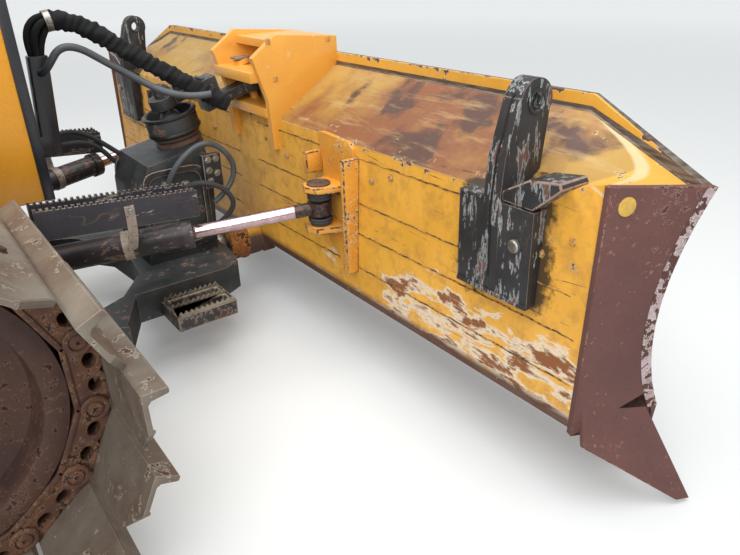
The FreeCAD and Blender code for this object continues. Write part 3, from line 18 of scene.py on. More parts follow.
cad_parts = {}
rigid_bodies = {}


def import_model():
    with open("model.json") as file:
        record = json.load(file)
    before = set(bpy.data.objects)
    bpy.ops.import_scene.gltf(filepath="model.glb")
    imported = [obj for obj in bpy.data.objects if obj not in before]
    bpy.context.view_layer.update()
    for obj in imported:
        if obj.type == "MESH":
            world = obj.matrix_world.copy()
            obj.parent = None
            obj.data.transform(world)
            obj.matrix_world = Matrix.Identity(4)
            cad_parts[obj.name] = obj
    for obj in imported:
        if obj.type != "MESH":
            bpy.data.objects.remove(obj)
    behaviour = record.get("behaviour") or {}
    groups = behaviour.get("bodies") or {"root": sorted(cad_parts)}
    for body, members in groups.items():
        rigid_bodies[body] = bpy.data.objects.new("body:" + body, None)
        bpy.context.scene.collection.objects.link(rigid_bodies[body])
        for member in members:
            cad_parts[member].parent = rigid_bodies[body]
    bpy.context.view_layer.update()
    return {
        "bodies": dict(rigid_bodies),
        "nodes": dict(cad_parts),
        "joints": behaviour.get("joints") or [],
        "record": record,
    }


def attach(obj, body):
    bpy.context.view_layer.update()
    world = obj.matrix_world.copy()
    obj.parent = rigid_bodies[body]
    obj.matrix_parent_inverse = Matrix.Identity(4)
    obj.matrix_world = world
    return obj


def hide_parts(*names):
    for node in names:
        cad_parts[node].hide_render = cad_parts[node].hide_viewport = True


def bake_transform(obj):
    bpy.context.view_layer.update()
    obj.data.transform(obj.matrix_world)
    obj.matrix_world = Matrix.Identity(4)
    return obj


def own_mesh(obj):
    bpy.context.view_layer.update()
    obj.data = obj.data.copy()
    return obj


LOG = logging.getLogger("bulldozer")
Array = np.ndarray
Point = Sequence[float]
Socket = bpy.types.NodeSocket
BLADE_X = 2.378  # back plane of the blade
SIDES = ((1, "left"), (-1, "right"))
AHEAD, BACK, LEFT, RIGHT, UP = (1, 0, 0), (-1, 0, 0), (0, 1, 0), (0, -1, 0), (0, 0, 1)


# Colour and node helpers

def colour(code: str) -> tuple[float, float, float, float]:
    """Turns an sRGB hex value into the linear colour that the shader wants.

    Args:
        code: six hex digits, such as "d9a23b".
    Returns:
        Linear red, green, blue and an alpha of one.
    """
    parts = [int(code[i:i + 2], 16) / 255 for i in (0, 2, 4)]
    linear = [c / 12.92 if c <= 0.04045 else ((c + 0.055) / 1.055) ** 2.4 for c in parts]
    return (*linear, 1.0)


class Net:
    """Node tree of one material or surround; each short method adds a node and returns the socket to use
    next."""

    def __init__(self, owner: bpy.types.Material | bpy.types.World) -> None:
        """Takes the owner's node tree and empties it."""
        owner.use_nodes = True
        self.tree = owner.node_tree
        self.tree.nodes.clear()

    def add(self, kind: str, inputs: dict | None = None, **settings: object) -> bpy.types.Node:
        """Adds one node with its settings, and links or sets its inputs.

        Args:
            kind: the node's type, without the "ShaderNode" in front.
            inputs: socket name or number to a value, a hex colour, or the output socket that feeds it.
            settings: the node's own properties.
        Returns:
            The new node.
        """
        node = self.tree.nodes.new("ShaderNode" + kind)
        for name, value in settings.items():
            setattr(node, name, value)
        for key, value in (inputs or {}).items():
            if isinstance(value, bpy.types.NodeSocket):
                self.tree.links.new(value, node.inputs[key])
            else:
                node.inputs[key].default_value = colour(value) if isinstance(value, str) else value
        return node

    def place(self) -> Socket:
        """Place in the object's own space."""
        return self.add("TexCoord").outputs["Object"]

    def stretch(self, place: Socket, scale: Sequence[float],
                turn: Sequence[float] = (0.0, 0.0, 0.0)) -> Socket:
        """Place turned and then scaled, so that a noise on it runs in streaks."""
        return self.add("Mapping", {"Vector": place, "Scale": scale, "Rotation": turn}).outputs[0]

    def noise(self, place: Socket, scale: float, detail: float = 2.0, rough: float = 0.5,
              twist: float = 0.0) -> Socket:
        """Cloudy noise, about 0.3 to 0.7."""
        inputs = {"Vector": place, "Scale": scale, "Detail": detail, "Roughness": rough,
                  "Distortion": twist}
        return self.add("TexNoise", inputs).outputs[0]

    def ramp(self, value: Socket, start: float = 0.0, end: float = 1.0, low: float = 0.0,
             high: float = 1.0) -> Socket:
        """Straight ramp from low at start to high at end, level beyond both."""
        inputs = {"Value": value, "From Min": start, "From Max": end, "To Min": low, "To Max": high}
        return self.add("MapRange", inputs).outputs[0]

    def math(self, operation: str, *values: Socket | float) -> Socket:
        """One sum on up to three values."""
        return self.add("Math", dict(enumerate(values)), operation=operation).outputs[0]

    def mix(self, share: Socket | float, first: Socket | str, second: Socket | str,
            blend: str = "MIX") -> Socket:
        """Blend of two colours by a share of the second."""
        return self.add("Mix", {0: share, 6: first, 7: second}, data_type="RGBA",
                        blend_type=blend).outputs[2]

    def level(self, share: Socket, first: Socket | float, second: Socket | float) -> Socket:
        """Blend of two numbers by a share of the second."""
        return self.add("Mix", {0: share, 2: first, 3: second}).outputs[0]

    def bump(self, height: Socket, strength: float, distance: float) -> Socket:
        """Normal of a surface with this relief."""
        return self.add("Bump", {"Strength": strength, "Distance": distance, "Height": height}).outputs[0]

    def surface(self, inputs: dict) -> None:
        """Ends the tree with the shader and the output."""
        shader = self.add("BsdfPrincipled", inputs)
        self.add("OutputMaterial", {"Surface": shader.outputs[0]})


class Grain(Enum):
    """Which way a finish's streaks run, as the stretch of the pattern along X, Y and Z."""

    EVEN = (1.0, 1.0, 1.0)
    ALONG = (0.18, 1.0, 1.0)
    ACROSS = (1.0, 0.16, 1.0)
    UPRIGHT = (1.0, 1.0, 0.22)


@dataclass(frozen=True)
class Finish:
    """A painted or bare metal surface with wear: a coat, its faded places, chips to primer, and rust.

    Attributes:
        name: what the real surface is.
        coat: colour of the sound coat.
        faded: colour of its faded or dusty places.
        chip: colour under a chip's rim.
        rust: colour in a chip's middle, and of the streaks.
        chips: share of the surface that is chipped.
        rough: roughness of the coat.
        metal: metallic value of the coat.
        grain: which way its streaks run.
        blotch_mm: size of the faded places.
        chip_mm: size of a chip.
        scratches: strength of the fine scratches.
        low_rust: height in metres under which rust takes over, or None.
        bump: strength of the surface's relief.
        coat_gloss: clear gloss on top of the coat.
    """

    name: str
    coat: str
    faded: str
    chip: str
    rust: str
    chips: float = 0.2
    rough: float = 0.45
    metal: float = 0.0
    grain: Grain = Grain.EVEN
    blotch_mm: float = 260.0
    chip_mm: float = 28.0
    scratches: float = 0.3
    low_rust: float | None = None
    bump: float = 0.25
    coat_gloss: float = 0.0

    def make(self) -> bpy.types.Material:
        """Builds the node material. Noise picks faded places, chips and rust; thin contours of a stretched
        noise are
        the scratches.

        Returns:
            The material.
        """
        material = bpy.data.materials.new(self.name)
        net = Net(material)
        place = net.place()
        stretched = net.stretch(place, self.grain.value)
        blotch = net.noise(place, 1000 / self.blotch_mm, 5.0, 0.6)
        fine = net.noise(stretched, 1000 / self.chip_mm, 8.0, 0.66)
        grit = net.noise(place, 420.0, 3.0, 0.7)
        fade = net.ramp(blotch, 0.36, 0.64)
        body = net.mix(fade, self.coat, self.faded)
        speck = net.ramp(grit, 0.3, 0.7, 0.86, 1.12)
        body = net.mix(1.0, body, speck, "MULTIPLY")
        # chips gather where the blotches are strong: fine noise plus a share of the blotch noise
        drive = net.math("MULTIPLY_ADD", blotch, 0.55, fine)
        if self.low_rust is not None:
            height = net.add("SeparateXYZ", {0: place}).outputs["Z"]
            low = net.ramp(height, self.low_rust, self.low_rust - 0.22)
            drive = net.math("MULTIPLY_ADD", low, 0.17, drive)
        edge = 1.0 - 0.36 * self.chips
        chip = net.ramp(drive, edge, edge + 0.012)
        core = net.ramp(drive, edge + 0.02, edge + 0.06)
        body = net.mix(chip, body, self.chip)
        body = net.mix(core, body, self.rust)
        lines = net.noise(stretched, 9.0, 4.0, 0.55, 0.6)
        away = net.math("ABSOLUTE", net.math("SUBTRACT", lines, 0.5))
        scratch = net.ramp(away, 0.0, 0.006, self.scratches, 0.0)
        gate = net.ramp(fine, 0.45, 0.6)
        scratch = net.math("MULTIPLY", scratch, gate)
        body = net.mix(scratch, body, self.rust)
        rough = net.ramp(drive, 0.45, edge, self.rough - 0.08, self.rough + 0.12)
        rough = net.level(core, rough, 0.85)
        relief = net.math("MULTIPLY_ADD", chip, -0.7, grit)
        bump = net.bump(relief, self.bump, 0.0012)
        net.surface({"Base Color": body, "Roughness": rough, "Metallic": self.metal,
                     "Coat Weight": self.coat_gloss, "Coat Roughness": 0.25, "Normal": bump})
        return material


# Freshly repainted plate: smooth and bright orange, with a few nicks only
BRIGHT_ORANGE = Finish("fresh_enamel", "f2ae4a", "e8a23e", "f0d6a8", "8a5530", 0.12, 0.36, blotch_mm=420,
                       scratches=0.1, coat_gloss=0.3)
# Body enamel on pressed sheet: clean yellow with soft gloss and light nicks
BODY_YELLOW = Finish("body_enamel", "f2a72a", "e39a26", "f1d7a2", "6a3f22", 0.1, 0.34, blotch_mm=520,
                     scratches=0.18, coat_gloss=0.35)
# Enamel on the clevises: duller yellow with many small chips
CLEVIS_YELLOW = Finish("clevis_enamel", "e7a23b", "cf8f33", "ead2a4", "6b4030", 0.34, 0.42, chip_mm=16,
                       scratches=0.4)
# Enamel on the roller frames: yellow that gives way to mud brown towards the ground
FRAME_YELLOW = Finish("frame_enamel", "b98a34", "7a5536", "c9a98a", "5d3d31", 0.7, 0.55, chip_mm=50,
                      scratches=0.4, low_rust=0.5)
# Chassis black on castings: grey-black dulled by dust, pinkish where it is knocked
CHARCOAL = Finish("chassis_black", "26292b", "45494a", "8d7468", "5c4036", 0.3, 0.42, blotch_mm=200,
                  chip_mm=36, scratches=0.35)
# Frame black in sheltered places: a darker copy of the chassis black that paints their shade, and evener
CHARCOAL_DEEP = Finish("frame_black", "1c1e20", "303335", "6b5a52", "4a352d", 0.25, 0.5, blotch_mm=260,
                       scratches=0.25)
# Glossy black on posts and sheet: deep and nearly whole
GLOSS_BLACK = Finish("post_black", "202126", "2b2c33", "5c5a5c", "3c3230", 0.08, 0.3, scratches=0.15,
                     coat_gloss=0.3)
# Black on the barrel steps: bluish, with long scratches
STEP_BLACK = Finish("step_black", "2c2a31", "3c3942", "a49b8e", "6d5a4d", 0.34, 0.42, grain=Grain.ALONG,
                    scratches=0.7)
# Step teeth trodden bare: dull metal with brown places
STEP_TEETH = Finish("worn_teeth", "a79d8c", "837a6c", "4a4540", "6c5142", 0.4, 0.45, metal=0.5, chip_mm=14)
# Cylinder barrels: warm black, dusty, with small pinkish chips
BARREL = Finish("barrel_black", "302e30", "4b4341", "9c8579", "6a4739", 0.4, 0.34, grain=Grain.ALONG,
                chip_mm=14, scratches=0.4, metal=0.2)
# Mast bracket black: upright scratches down to pale grey metal
MAST_BLACK = Finish("mast_black", "26262a", "3d3b3b", "9fa9aa", "6d5046", 0.42, 0.42, grain=Grain.UPRIGHT,
                    chip_mm=30, scratches=0.8, metal=0.2)
# Hot-rolled wear plate: even, matt brown rust
RUST_PLATE = Finish("rusted_plate", "5d3e3b", "6b4640", "96716a", "47302c", 0.25, 0.78, chip_mm=22,
                    scratches=0.25, bump=0.5)
# Cutting edge: redder rust with broad pale knocks
EDGE_RUST = Finish("rusted_edge", "5e3d33", "7b4a34", "a8836b", "402b26", 0.5, 0.75, chip_mm=30,
                   scratches=0.3, bump=0.5)
# Idlers, rollers and sprockets: dark brown rust with a rubbed sheen
IDLER_RUST = Finish("idler_rust", "493632", "5e4338", "7d604f", "362723", 0.4, 0.6, blotch_mm=180,
                    chip_mm=20, metal=0.35, bump=0.4)
# Track links: rough brown rust with pale pits
LINK_RUST = Finish("link_rust", "5a4038", "755038", "9a7a64", "3f2c27", 0.5, 0.58, blotch_mm=70, chip_mm=16,
                   metal=0.35, bump=0.6)
# Track shoes: grey-brown steel that the ground rubs clean in patches
SHOE_STEEL = Finish("rubbed_shoe", "8b8377", "6d5b4e", "b3aa9c", "5c463b", 0.32, 0.5, blotch_mm=220,
                    chip_mm=40, scratches=0.5, metal=0.4, bump=0.35)
# Edges of the shoes: the brightest, cleanest steel of the track
SHOE_EDGE = Finish("shoe_edge", "b3aea3", "98928a", "c5c0b5", "6d5f54", 0.15, 0.42, blotch_mm=80,
                   chip_mm=20, metal=0.5, bump=0.3)
# Corners of black castings: paint rubbed off to pinkish metal
WORN_EDGE = Finish("worn_edge", "9c8375", "b5a294", "6d5146", "5b4036", 0.4, 0.45, blotch_mm=60, chip_mm=12,
                   metal=0.4)
# Corners of yellow plate: enamel broken by brown nicks
YELLOW_EDGE = Finish("nicked_edge", "c98f3c", "8a5c3c", "d8bd92", "5b3a2c", 0.75, 0.5, blotch_mm=50,
                     chip_mm=18)
# Corners of clean yellow sheet: hardly nicked
BRIGHT_EDGE = Finish("fresh_edge", "e0a048", "c98f44", "e6cfa0", "7a5238", 0.3, 0.4, blotch_mm=60,
                     chip_mm=14)
# Ball drum: orange rust with yellow left between
DRUM_RUST = Finish("drum_rust", "a8662c", "8a4d28", "cf9440", "4f2e22", 0.55, 0.55, blotch_mm=60,
                   chip_mm=24, bump=0.4)
# Rusty castings at neck and pins: dark brown and pitted
NECK_RUST = Finish("rusty_casting", "6b5345", "4a3a34", "8b7160", "3b2c27", 0.3, 0.6, blotch_mm=50,
                   chip_mm=12, metal=0.25, bump=0.5)
# Castings with grease on them: nearly black, and shinier
GREASY_BLACK = Finish("greasy_casting", "1b1c1e", "33312f", "6f625b", "4b3d37", 0.2, 0.3, blotch_mm=60,
                      chip_mm=14, scratches=0.2)
# Pitch link's ribs: dull blue-grey
LINK_GREY = Finish("dull_casting", "3b4147", "4d4f50", "8d8a84", "5b473d", 0.3, 0.45, blotch_mm=50,
                   chip_mm=12)
# Painted bolts: yellow heads with brown corners
NICKED_BOLT = Finish("nicked_bolt", "d09a45", "8f6a44", "d8c6a0", "6d4a38", 0.5, 0.45, blotch_mm=14,
                     chip_mm=6)
# Weld beads in the blade's back: browner and rougher than the plate
SEAM = Finish("weld_seam", "b98a3c", "7d5a35", "6b4a32", "4c3527", 0.6, 0.55, blotch_mm=60, chip_mm=14)
# Plugs in the end plates: a paler yellow than the blade
PLUG_YELLOW = Finish("plug_enamel", "d8b14f", "c79a44", "e2cf9a", "8a6a48", 0.2, 0.45, blotch_mm=20,
                     chip_mm=6)
# Rim of the end plates that soil rubs: pale pink steel in brown rust
RUBBED_PINK = Finish("rubbed_rim", "c3aeb4", "8b6a64", "d8cfc8", "5d3e3b", 0.72, 0.5, blotch_mm=70,
                     chip_mm=20, metal=0.3)
# Silvered glass: bright and quite smooth
MIRROR = Finish("silvered_glass", "e8ecee", "dfe4e6", "cfd6d8", "bfc6c8", 0.02, 0.05, metal=1.0,
                scratches=0.0, bump=0.0)
# Bare strap: light brown-grey metal
STRAP_STEEL = Finish("strap_steel", "9b8a7d", "b8aa9c", "6d5a4e", "5b4438", 0.3, 0.45, blotch_mm=40,
                     chip_mm=10, metal=0.4)
# Nose steps: black worn through to pinkish metal
NOSE_STEP = Finish("rubbed_step", "3a3838", "4a4240", "a5968f", "6a4a40", 0.55, 0.42, blotch_mm=60,
                   chip_mm=22, scratches=0.5, metal=0.35)
# Engine block: plain dark grey
ENGINE_GREY = Finish("engine_grey", "3a3d3e", "4a4c4b", "6a6662", "4c3a31", 0.2, 0.5)
# Exhaust stack: heat-browned metal
STACK_STEEL = Finish("stack_steel", "4a3a34", "5f4a3e", "7b6252", "33261f", 0.4, 0.6, metal=0.5)
# Plated bolts and fittings: the small bright spots on the machine
PLATED = Finish("plated_fastener", "a8a49c", "8b8478", "6d6358", "6b4a38", 0.3, 0.35, blotch_mm=30,
                chip_mm=8, metal=0.8)
# Deck paint: matt black with a rough grip
DECK_BLACK = Finish("deck_black", "232427", "34363a", "6d6a66", "4c3a30", 0.25, 0.6, chip_mm=30, bump=0.5)


@dataclass(frozen=True)
class BladeEnamel:
    """Rolled plate sprayed with mustard machine enamel, worn differently in each zone of the blade.

    The back is scratched and chipped, its foot scraped to white primer and orange rust. The slope above
    the fold is
    rubbed brown by spilling soil, the lip over it is chipped, and the soil side is scoured steel. Black
    overspray
    lies round the mast brackets.

    Attributes:
        name: name of the material.
        corner: where the top corners start to drop, to the side.
        fold: height of the fold between them.
        crest: height of the top edge between them.
        mast: middle of the mast brackets, to the side and up.
    """

    name: str = "blade_enamel"
    corner: float = 1.576
    fold: float = 0.867
    crest: float = 1.104
    mast: tuple[float, float] = (1.555, 0.735)

    def make(self) -> bpy.types.Material:
        """Builds the material: masks from the place on the blade mix the zones' colours, then chips and
        scratches."""
        material = bpy.data.materials.new(self.name)
        net = Net(material)
        place = net.place()
        x, y, z = net.add("SeparateXYZ", {0: place}).outputs
        side = net.math("ABSOLUTE", y)
        wing = net.ramp(side, self.corner, self.corner + 1)
        ahead = net.math("SUBTRACT", x, BLADE_X)
        cloud = net.noise(place, 2.6, 6.0, 0.6)
        mottle = net.noise(place, 16.0, 9.0, 0.68)
        grit = net.noise(place, 380.0, 2.0)
        long = net.stretch(place, (1.0, 0.16, 1.4), (0.62, 0.1, 0.0))
        streak = net.noise(long, 24.0, 8.0, 0.7)

        fold = net.math("MULTIPLY_ADD", wing, 0.405, self.fold)
        lip = net.math("MULTIPLY_ADD", wing, -0.42, self.crest - 0.043)
        over_fold = net.math("SUBTRACT", z, fold)
        over_lip = net.math("SUBTRACT", z, lip)
        on_slope = net.ramp(over_fold, -0.002, 0.004)
        on_lip = net.ramp(over_lip, -0.002, 0.003)
        near_fold = net.math("ABSOLUTE", over_fold)
        crease = net.math("ABSOLUTE", over_lip)
        front_low = net.math("GREATER_THAN", ahead, 0.15)
        below = net.math("LESS_THAN", z, 0.8)
        front_low = net.math("MULTIPLY", front_low, below)
        limit = net.ramp(z, 0.79, 1.104, 0.218, 0.343)
        front = net.math("GREATER_THAN", ahead, limit)
        front = net.math("MAXIMUM", front, front_low)

        # the back: mustard, faded in clouds, a little greyer where soil has been
        fade = net.ramp(cloud, 0.35, 0.65)
        body = net.mix(fade, "efb24a", "d99f36")
        dirt = net.ramp(mottle, 0.47, 0.66, high=0.6)
        body = net.mix(dirt, body, "b07f3a")
        # its foot: primer, then orange rust, then a dark strip
        rise = net.math("MULTIPLY_ADD", cloud, 0.9, z)
        foot = net.ramp(rise, 1.02, 0.86)
        more = net.ramp(y, -0.3, -1.05, 0.08, 0.28)
        foot = net.math("MULTIPLY", foot, more)
        flake = net.stretch(place, (1.0, 0.4, 1.3), (0.3, 0.0, 0.0))
        flake = net.noise(flake, 13.0, 10.0, 0.66, 0.25)
        bare = net.math("ADD", foot, flake)
        primer = net.ramp(bare, 0.735, 0.775, high=0.9)
        rusty = net.ramp(bare, 0.8, 0.85)
        body = net.mix(primer, body, "e2d3bc")
        body = net.mix(rusty, body, "8a5630")
        strip = net.ramp(z, 0.325, 0.3)
        body = net.mix(strip, body, "5a3d30")

        # the slope: gold stain, reddish brown clouds, dark bare patches and fine pale rubbing
        stain = net.math("ADD", y, 1.0)
        stain = net.math("ABSOLUTE", stain)
        stain = net.ramp(stain, 0.15, 0.75, 0.2, -0.08)
        brown = net.math("ADD", cloud, stain)
        brown = net.ramp(brown, 0.42, 0.62)
        slope = net.mix(brown, "b8924b", "8a583a")
        dark = net.noise(place, 3.4, 7.0, 0.55, 0.4)
        dark = net.math("MULTIPLY_ADD", stain, 0.5, dark)
        dark = net.ramp(dark, 0.57, 0.63)
        slope = net.mix(dark, slope, "5b4137")
        rub = net.ramp(streak, 0.52, 0.7, high=0.6)
        slope = net.mix(rub, slope, "c8a774")
        body = net.mix(on_slope, body, slope)
        lit = net.mix(fade, "e3a945", "d0952f")
        body = net.mix(on_lip, body, lit)
        pale = net.ramp(crease, 0.003, 0.006, 0.8, 0.0)
        body = net.mix(pale, body, "dcc79b")
        scour = net.noise(net.stretch(place, (1.0, 0.6, 7.0)), 20.0, 8.0)
        soil = net.ramp(scour, 0.35, 0.65)
        steel = net.mix(soil, "8b8378", "5f4b40")
        body = net.mix(front, body, steel)

        # chips to primer and rust, more of them along the fold and the crest
        along = net.ramp(near_fold, end=0.035, low=0.13, high=0.0)
        crown = net.ramp(over_lip, 0.02, 0.043, high=0.16)
        drive = net.math("ADD", along, crown)
        drive = net.math("ADD", drive, mottle)
        chip = net.ramp(drive, 0.665, 0.672)
        core = net.ramp(drive, 0.678, 0.69)
        chip = net.math("MULTIPLY", chip, net.math("SUBTRACT", 1.0, front))
        core = net.math("MULTIPLY", core, chip)
        body = net.mix(chip, body, "d8c39c")
        body = net.mix(core, body, "5d4032")

        # scratches: thin contours of three stretched, tilted noises, nearly straight and kept to small places
        marks = None
        for turn, size, gate_scale in ((0.95, 3.1, 5.2), (-0.5, 2.7, 4.1), (0.2, 2.2, 3.3)):
            bent = net.stretch(place, (1.0, 0.14, 2.2), (turn, 0.0, 0.0))
            wave = net.noise(bent, size, 1.0, 0.3)
            wave = net.math("SUBTRACT", wave, 0.5)
            wave = net.math("ABSOLUTE", wave)
            line = net.ramp(wave, 0.0006, 0.0022, 0.85, 0.0)
            gate = net.noise(place, gate_scale * 2, 5.0)
            gate = net.ramp(gate, 0.545, 0.6)
            line = net.math("MULTIPLY", line, gate)
            marks = line if marks is None else net.math("MAXIMUM", marks, line)
        body = net.mix(marks, body, "4f372a")

        # black overspray: distance from a box round each mast foot, roughened by the mottle
        out_y = net.math("SUBTRACT", side, self.mast[0])
        out_y = net.math("ABSOLUTE", out_y)
        out_y = net.ramp(out_y, 0.13, 1.13)
        out_z = net.math("SUBTRACT", z, self.mast[1])
        out_z = net.math("ABSOLUTE", out_z)
        out_z = net.ramp(out_z, 0.13, 1.13)
        away = net.math("ADD", out_y, out_z)
        away = net.math("MULTIPLY_ADD", mottle, 0.2, away)
        spray = net.ramp(away, 0.155, 0.125, high=0.92)
        spray = net.math("MULTIPLY", spray, net.math("LESS_THAN", ahead, 0.12))
        body = net.mix(spray, body, "2b2422")

        rough = net.ramp(mottle, 0.3, 0.7, 0.36, 0.6)
        worn = net.math("MAXIMUM", core, rusty)
        rough = net.level(worn, rough, 0.85)
        metal = net.math("MULTIPLY", front, 0.7)
        relief = net.math("MULTIPLY_ADD", chip, -0.8, grit)
        relief = net.math("MULTIPLY_ADD", marks, -1.0, relief)
        bump = net.bump(relief, 0.3, 0.0015)
        net.surface({"Base Color": body, "Roughness": rough, "Metallic": metal, "Normal": bump})
        return material


@dataclass(frozen=True)
class HardChrome:
    """Ground and chromed rod, bright with a faint pink reflection, with a forged eye that has gone dark
    brown.

    Attributes:
        name: name of the material.
        eye: middle of the eye.
        reach: how far from it the dark forging goes.
    """

    name: str
    eye: tuple[float, float, float]
    reach: float

    def make(self) -> bpy.types.Material:
        """Builds the material: the distance from the eye switches between chrome and rusty forging."""
        material = bpy.data.materials.new(self.name)
        net = Net(material)
        place = net.place()
        far = net.add("VectorMath", {0: place, 1: self.eye}, operation="DISTANCE").outputs["Value"]
        stain = net.noise(place, 60.0, 6.0, 0.7)
        far = net.math("MULTIPLY_ADD", stain, 0.008, far)
        dark = net.ramp(far, self.reach + 0.004, self.reach)
        rust = net.ramp(stain, 0.45, 0.62)
        forged = net.mix(rust, "2c2a2b", "6b4a3c")
        smear = net.ramp(stain, 0.4, 0.75)
        # painted reflection: the pink tint of the chrome colour stands for a pinkish reflection of its
        # surroundings
        chrome = net.mix(smear, "d3b6b9", "a08788")
        body = net.mix(dark, chrome, forged)
        rough = net.ramp(dark, low=0.16, high=0.5)
        metal = net.ramp(dark, low=1.0, high=0.35)
        net.surface({"Base Color": body, "Roughness": rough, "Metallic": metal})
        return material


class Plain(Enum):
    """Finishes with no chips: base colour, roughness, transmission, and the size in millimetres of a fine
    relief."""

    RUBBER = ("hose_rubber", "17181a", 0.48, 0.0, 2.0)
    OLD_RUBBER = ("grey_hose_rubber", "4c4f52", 0.5, 0.0, 4.0)
    SLEEVE = ("woven_sleeve", "0f1012", 0.9, 0.0, 5.0)
    GLASS = ("cab_safety_glass", "c3d3d2", 0.04, 0.85, 0.0)
    PLASTIC = ("moulded_trim", "1d1e20", 0.55, 0.0, 1.5)
    VINYL = ("seat_vinyl", "232428", 0.5, 0.0, 3.0)
    LENS = ("lamp_lens", "e8e8e0", 0.15, 0.3, 6.0)
    AMBER = ("amber_lens", "e07a12", 0.15, 0.3, 6.0)
    GASKET = ("window_gasket", "111214", 0.7, 0.0, 1.5)

    def make(self) -> bpy.types.Material:
        """Builds the material, with a little colour variation and a fine relief."""
        name, base, rough, clear, grain_mm = self.value
        # the shared file brings its own hose rubber and seat vinyl, and they stand as they are
        if name in bpy.data.materials:
            return bpy.data.materials[name]
        material = bpy.data.materials.new(name)
        net = Net(material)
        place = net.place()
        cloud = net.noise(place, 14.0, 5.0)
        spread = 0.03 if clear > 0.5 else 0.22
        shade = net.ramp(cloud, 0.3, 0.7, 1 - spread, 1 + spread)
        body = net.mix(1.0, base, shade, "MULTIPLY")
        inputs = {"Base Color": body, "Roughness": rough, "Transmission Weight": clear}
        if grain_mm:
            relief = net.add("TexVoronoi", {"Vector": place, "Scale": 1000 / grain_mm}).outputs[0]
            inputs["Normal"] = net.bump(relief, 0.35, 0.0006)
        if clear > 0.5:
            material.surface_render_method = "BLENDED"
            inputs["IOR"] = 1.05
        net.surface(inputs)
        return material


Surface = Finish | BladeEnamel | HardChrome | Plain


@cache
def material_of(finish: Surface) -> bpy.types.Material:
    """The finish's material, built at its first use."""
    return finish.make()


# Mesh helpers: every shape is a grid of two parameters, worked out as whole arrays
@dataclass
class Shell:
    """Points and four-sided faces of one or more closed skins."""

    points: Array = field(default_factory=lambda: np.zeros((0, 3)))
    faces: Array = field(default_factory=lambda: np.zeros((0, 4), int))

    def __add__(self, other: "Shell") -> "Shell":
        """Both skins in one."""
        return Shell(np.vstack([self.points, other.points]),
                     np.vstack([self.faces, other.faces + len(self.points)]))

    def moved(self, shift: Point, turn: Array) -> "Shell":
        """The skin turned by a 3 by 3 matrix and then shifted."""
        return Shell(self.points @ turn.T + np.asarray(shift, float), self.faces)

    def on(self, side: int) -> "Shell":
        """The skin as made for the left side (1), or its mirror image for the right (-1), faces turned
        round."""
        return self if side > 0 else Shell(self.points * [1, -1, 1], self.faces[:, ::-1])

    def copies(self, turns: Array, shifts: Array) -> "Shell":
        """Copies of the skin: point p of copy k is turns[k] times p plus shifts[k].

        Args:
            turns: K by 3 by 3 matrices.
            shifts: K by 3 shifts.
        Returns:
            All copies in one skin.
        """
        points = np.einsum("kij,nj->kni", turns, self.points) + shifts[:, None, :]
        steps = np.arange(len(shifts))[:, None, None] * len(self.points)
        return Shell(points.reshape(-1, 3), (self.faces[None] + steps).reshape(-1, 4))


def joined(shells: Iterable[Shell]) -> Shell:
    """All the skins in one."""
    return sum(shells, Shell())


def both(shell: Shell) -> Shell:
    """A skin and its mirror image on the machine's other side."""
    return shell + shell.on(-1)


def at(x: float, y: float, z: float) -> Array:
    """Place given from the blade's back plane, in the part's frame."""
    return np.array([BLADE_X + x, y, z])


def unit(vectors: Array) -> Array:
    """One vector, or each row of many, at length one."""
    vectors = np.asarray(vectors, float)
    return vectors / np.linalg.norm(vectors, axis=-1, keepdims=True)


def circle(count: int, start: float = 0.0) -> Array:
    """Points (cos a, sin a) round the unit circle, the first one start steps from zero."""
    a = (np.arange(count) + start) * 2 * math.pi / count
    return np.stack([np.cos(a), np.sin(a)], -1)


def squircle(count: int, power: float) -> Array:
    """Rounded square of half width one: circle points over (|x|^power + |y|^power)^(1 / power)."""
    points = circle(count, 0.5)
    return points / (np.abs(points) ** power).sum(1, keepdims=True) ** (1 / power)


def parabola(first: Point, middle: Point, last: Point, count: int) -> Array:
    """Curve (1 - t)^2 first + 2 t (1 - t) middle + t^2 last, at count even steps of t."""
    a, b, c = (np.asarray(p, float) for p in (first, middle, last))
    t = np.linspace(0, 1, count)[:, None]
    return (1 - t) ** 2 * a + 2 * t * (1 - t) * b + t ** 2 * c


def grid_faces(rows: int, columns: int) -> Array:
    """Faces of a grid numbered row by row, whose last column joins the first."""
    i, j = np.meshgrid(np.arange(rows - 1), np.arange(columns), indexing="ij")
    k = (j + 1) % columns
    return np.stack([i * columns + j, i * columns + k, (i + 1) * columns + k, (i + 1) * columns + j],
                    -1).reshape(-1, 4)


def sweep(profile: Array, path: Array, sides: Array, ups: Array) -> Shell:
    """Closed profile carried along a path: point = path + u * side + v * up, closed at both ends.

    Args:
        profile: N by 2 points (u, v), anticlockwise seen against the path's direction.
        path: M by 3 points.
        sides: direction of u, one for all or M by 3.
        ups: direction of v, one for all or M by 3.
    Returns:
        The closed skin; each end is closed by quads that fold the profile onto itself.
    """
    path, profile = np.asarray(path, float), np.asarray(profile, float)
    sides, ups = (np.broadcast_to(np.asarray(a, float), path.shape) for a in (sides, ups))
    points = path[:, None, :] + profile[None, :, :1] * sides[:, None, :] + profile[None, :, 1:] * ups[:,
                                                            None, :]
    count = len(profile)
    j = np.arange(count // 2 - 1 + count % 2)
    start = np.stack([j, (count - 1 - j) % count, (count - 2 - j) % count, j + 1], -1)
    last = start[:, ::-1] + (len(path) - 1) * count
    return Shell(points.reshape(-1, 3), np.vstack([grid_faces(len(path), count), start, last]))


def band(wide: float, thick: float) -> list[tuple[float, float]]:
    """Profile of a flat strip, wide along u from zero and thick along v from zero."""
    return [(0, 0), (wide, 0), (wide, thick), (0, thick)]


def bar(half_u: float, half_v: float) -> list[tuple[float, float]]:
    """Profile of a flat strip about its middle."""
    return [(-half_u, -half_v), (half_u, -half_v), (half_u, half_v), (-half_u, half_v)]


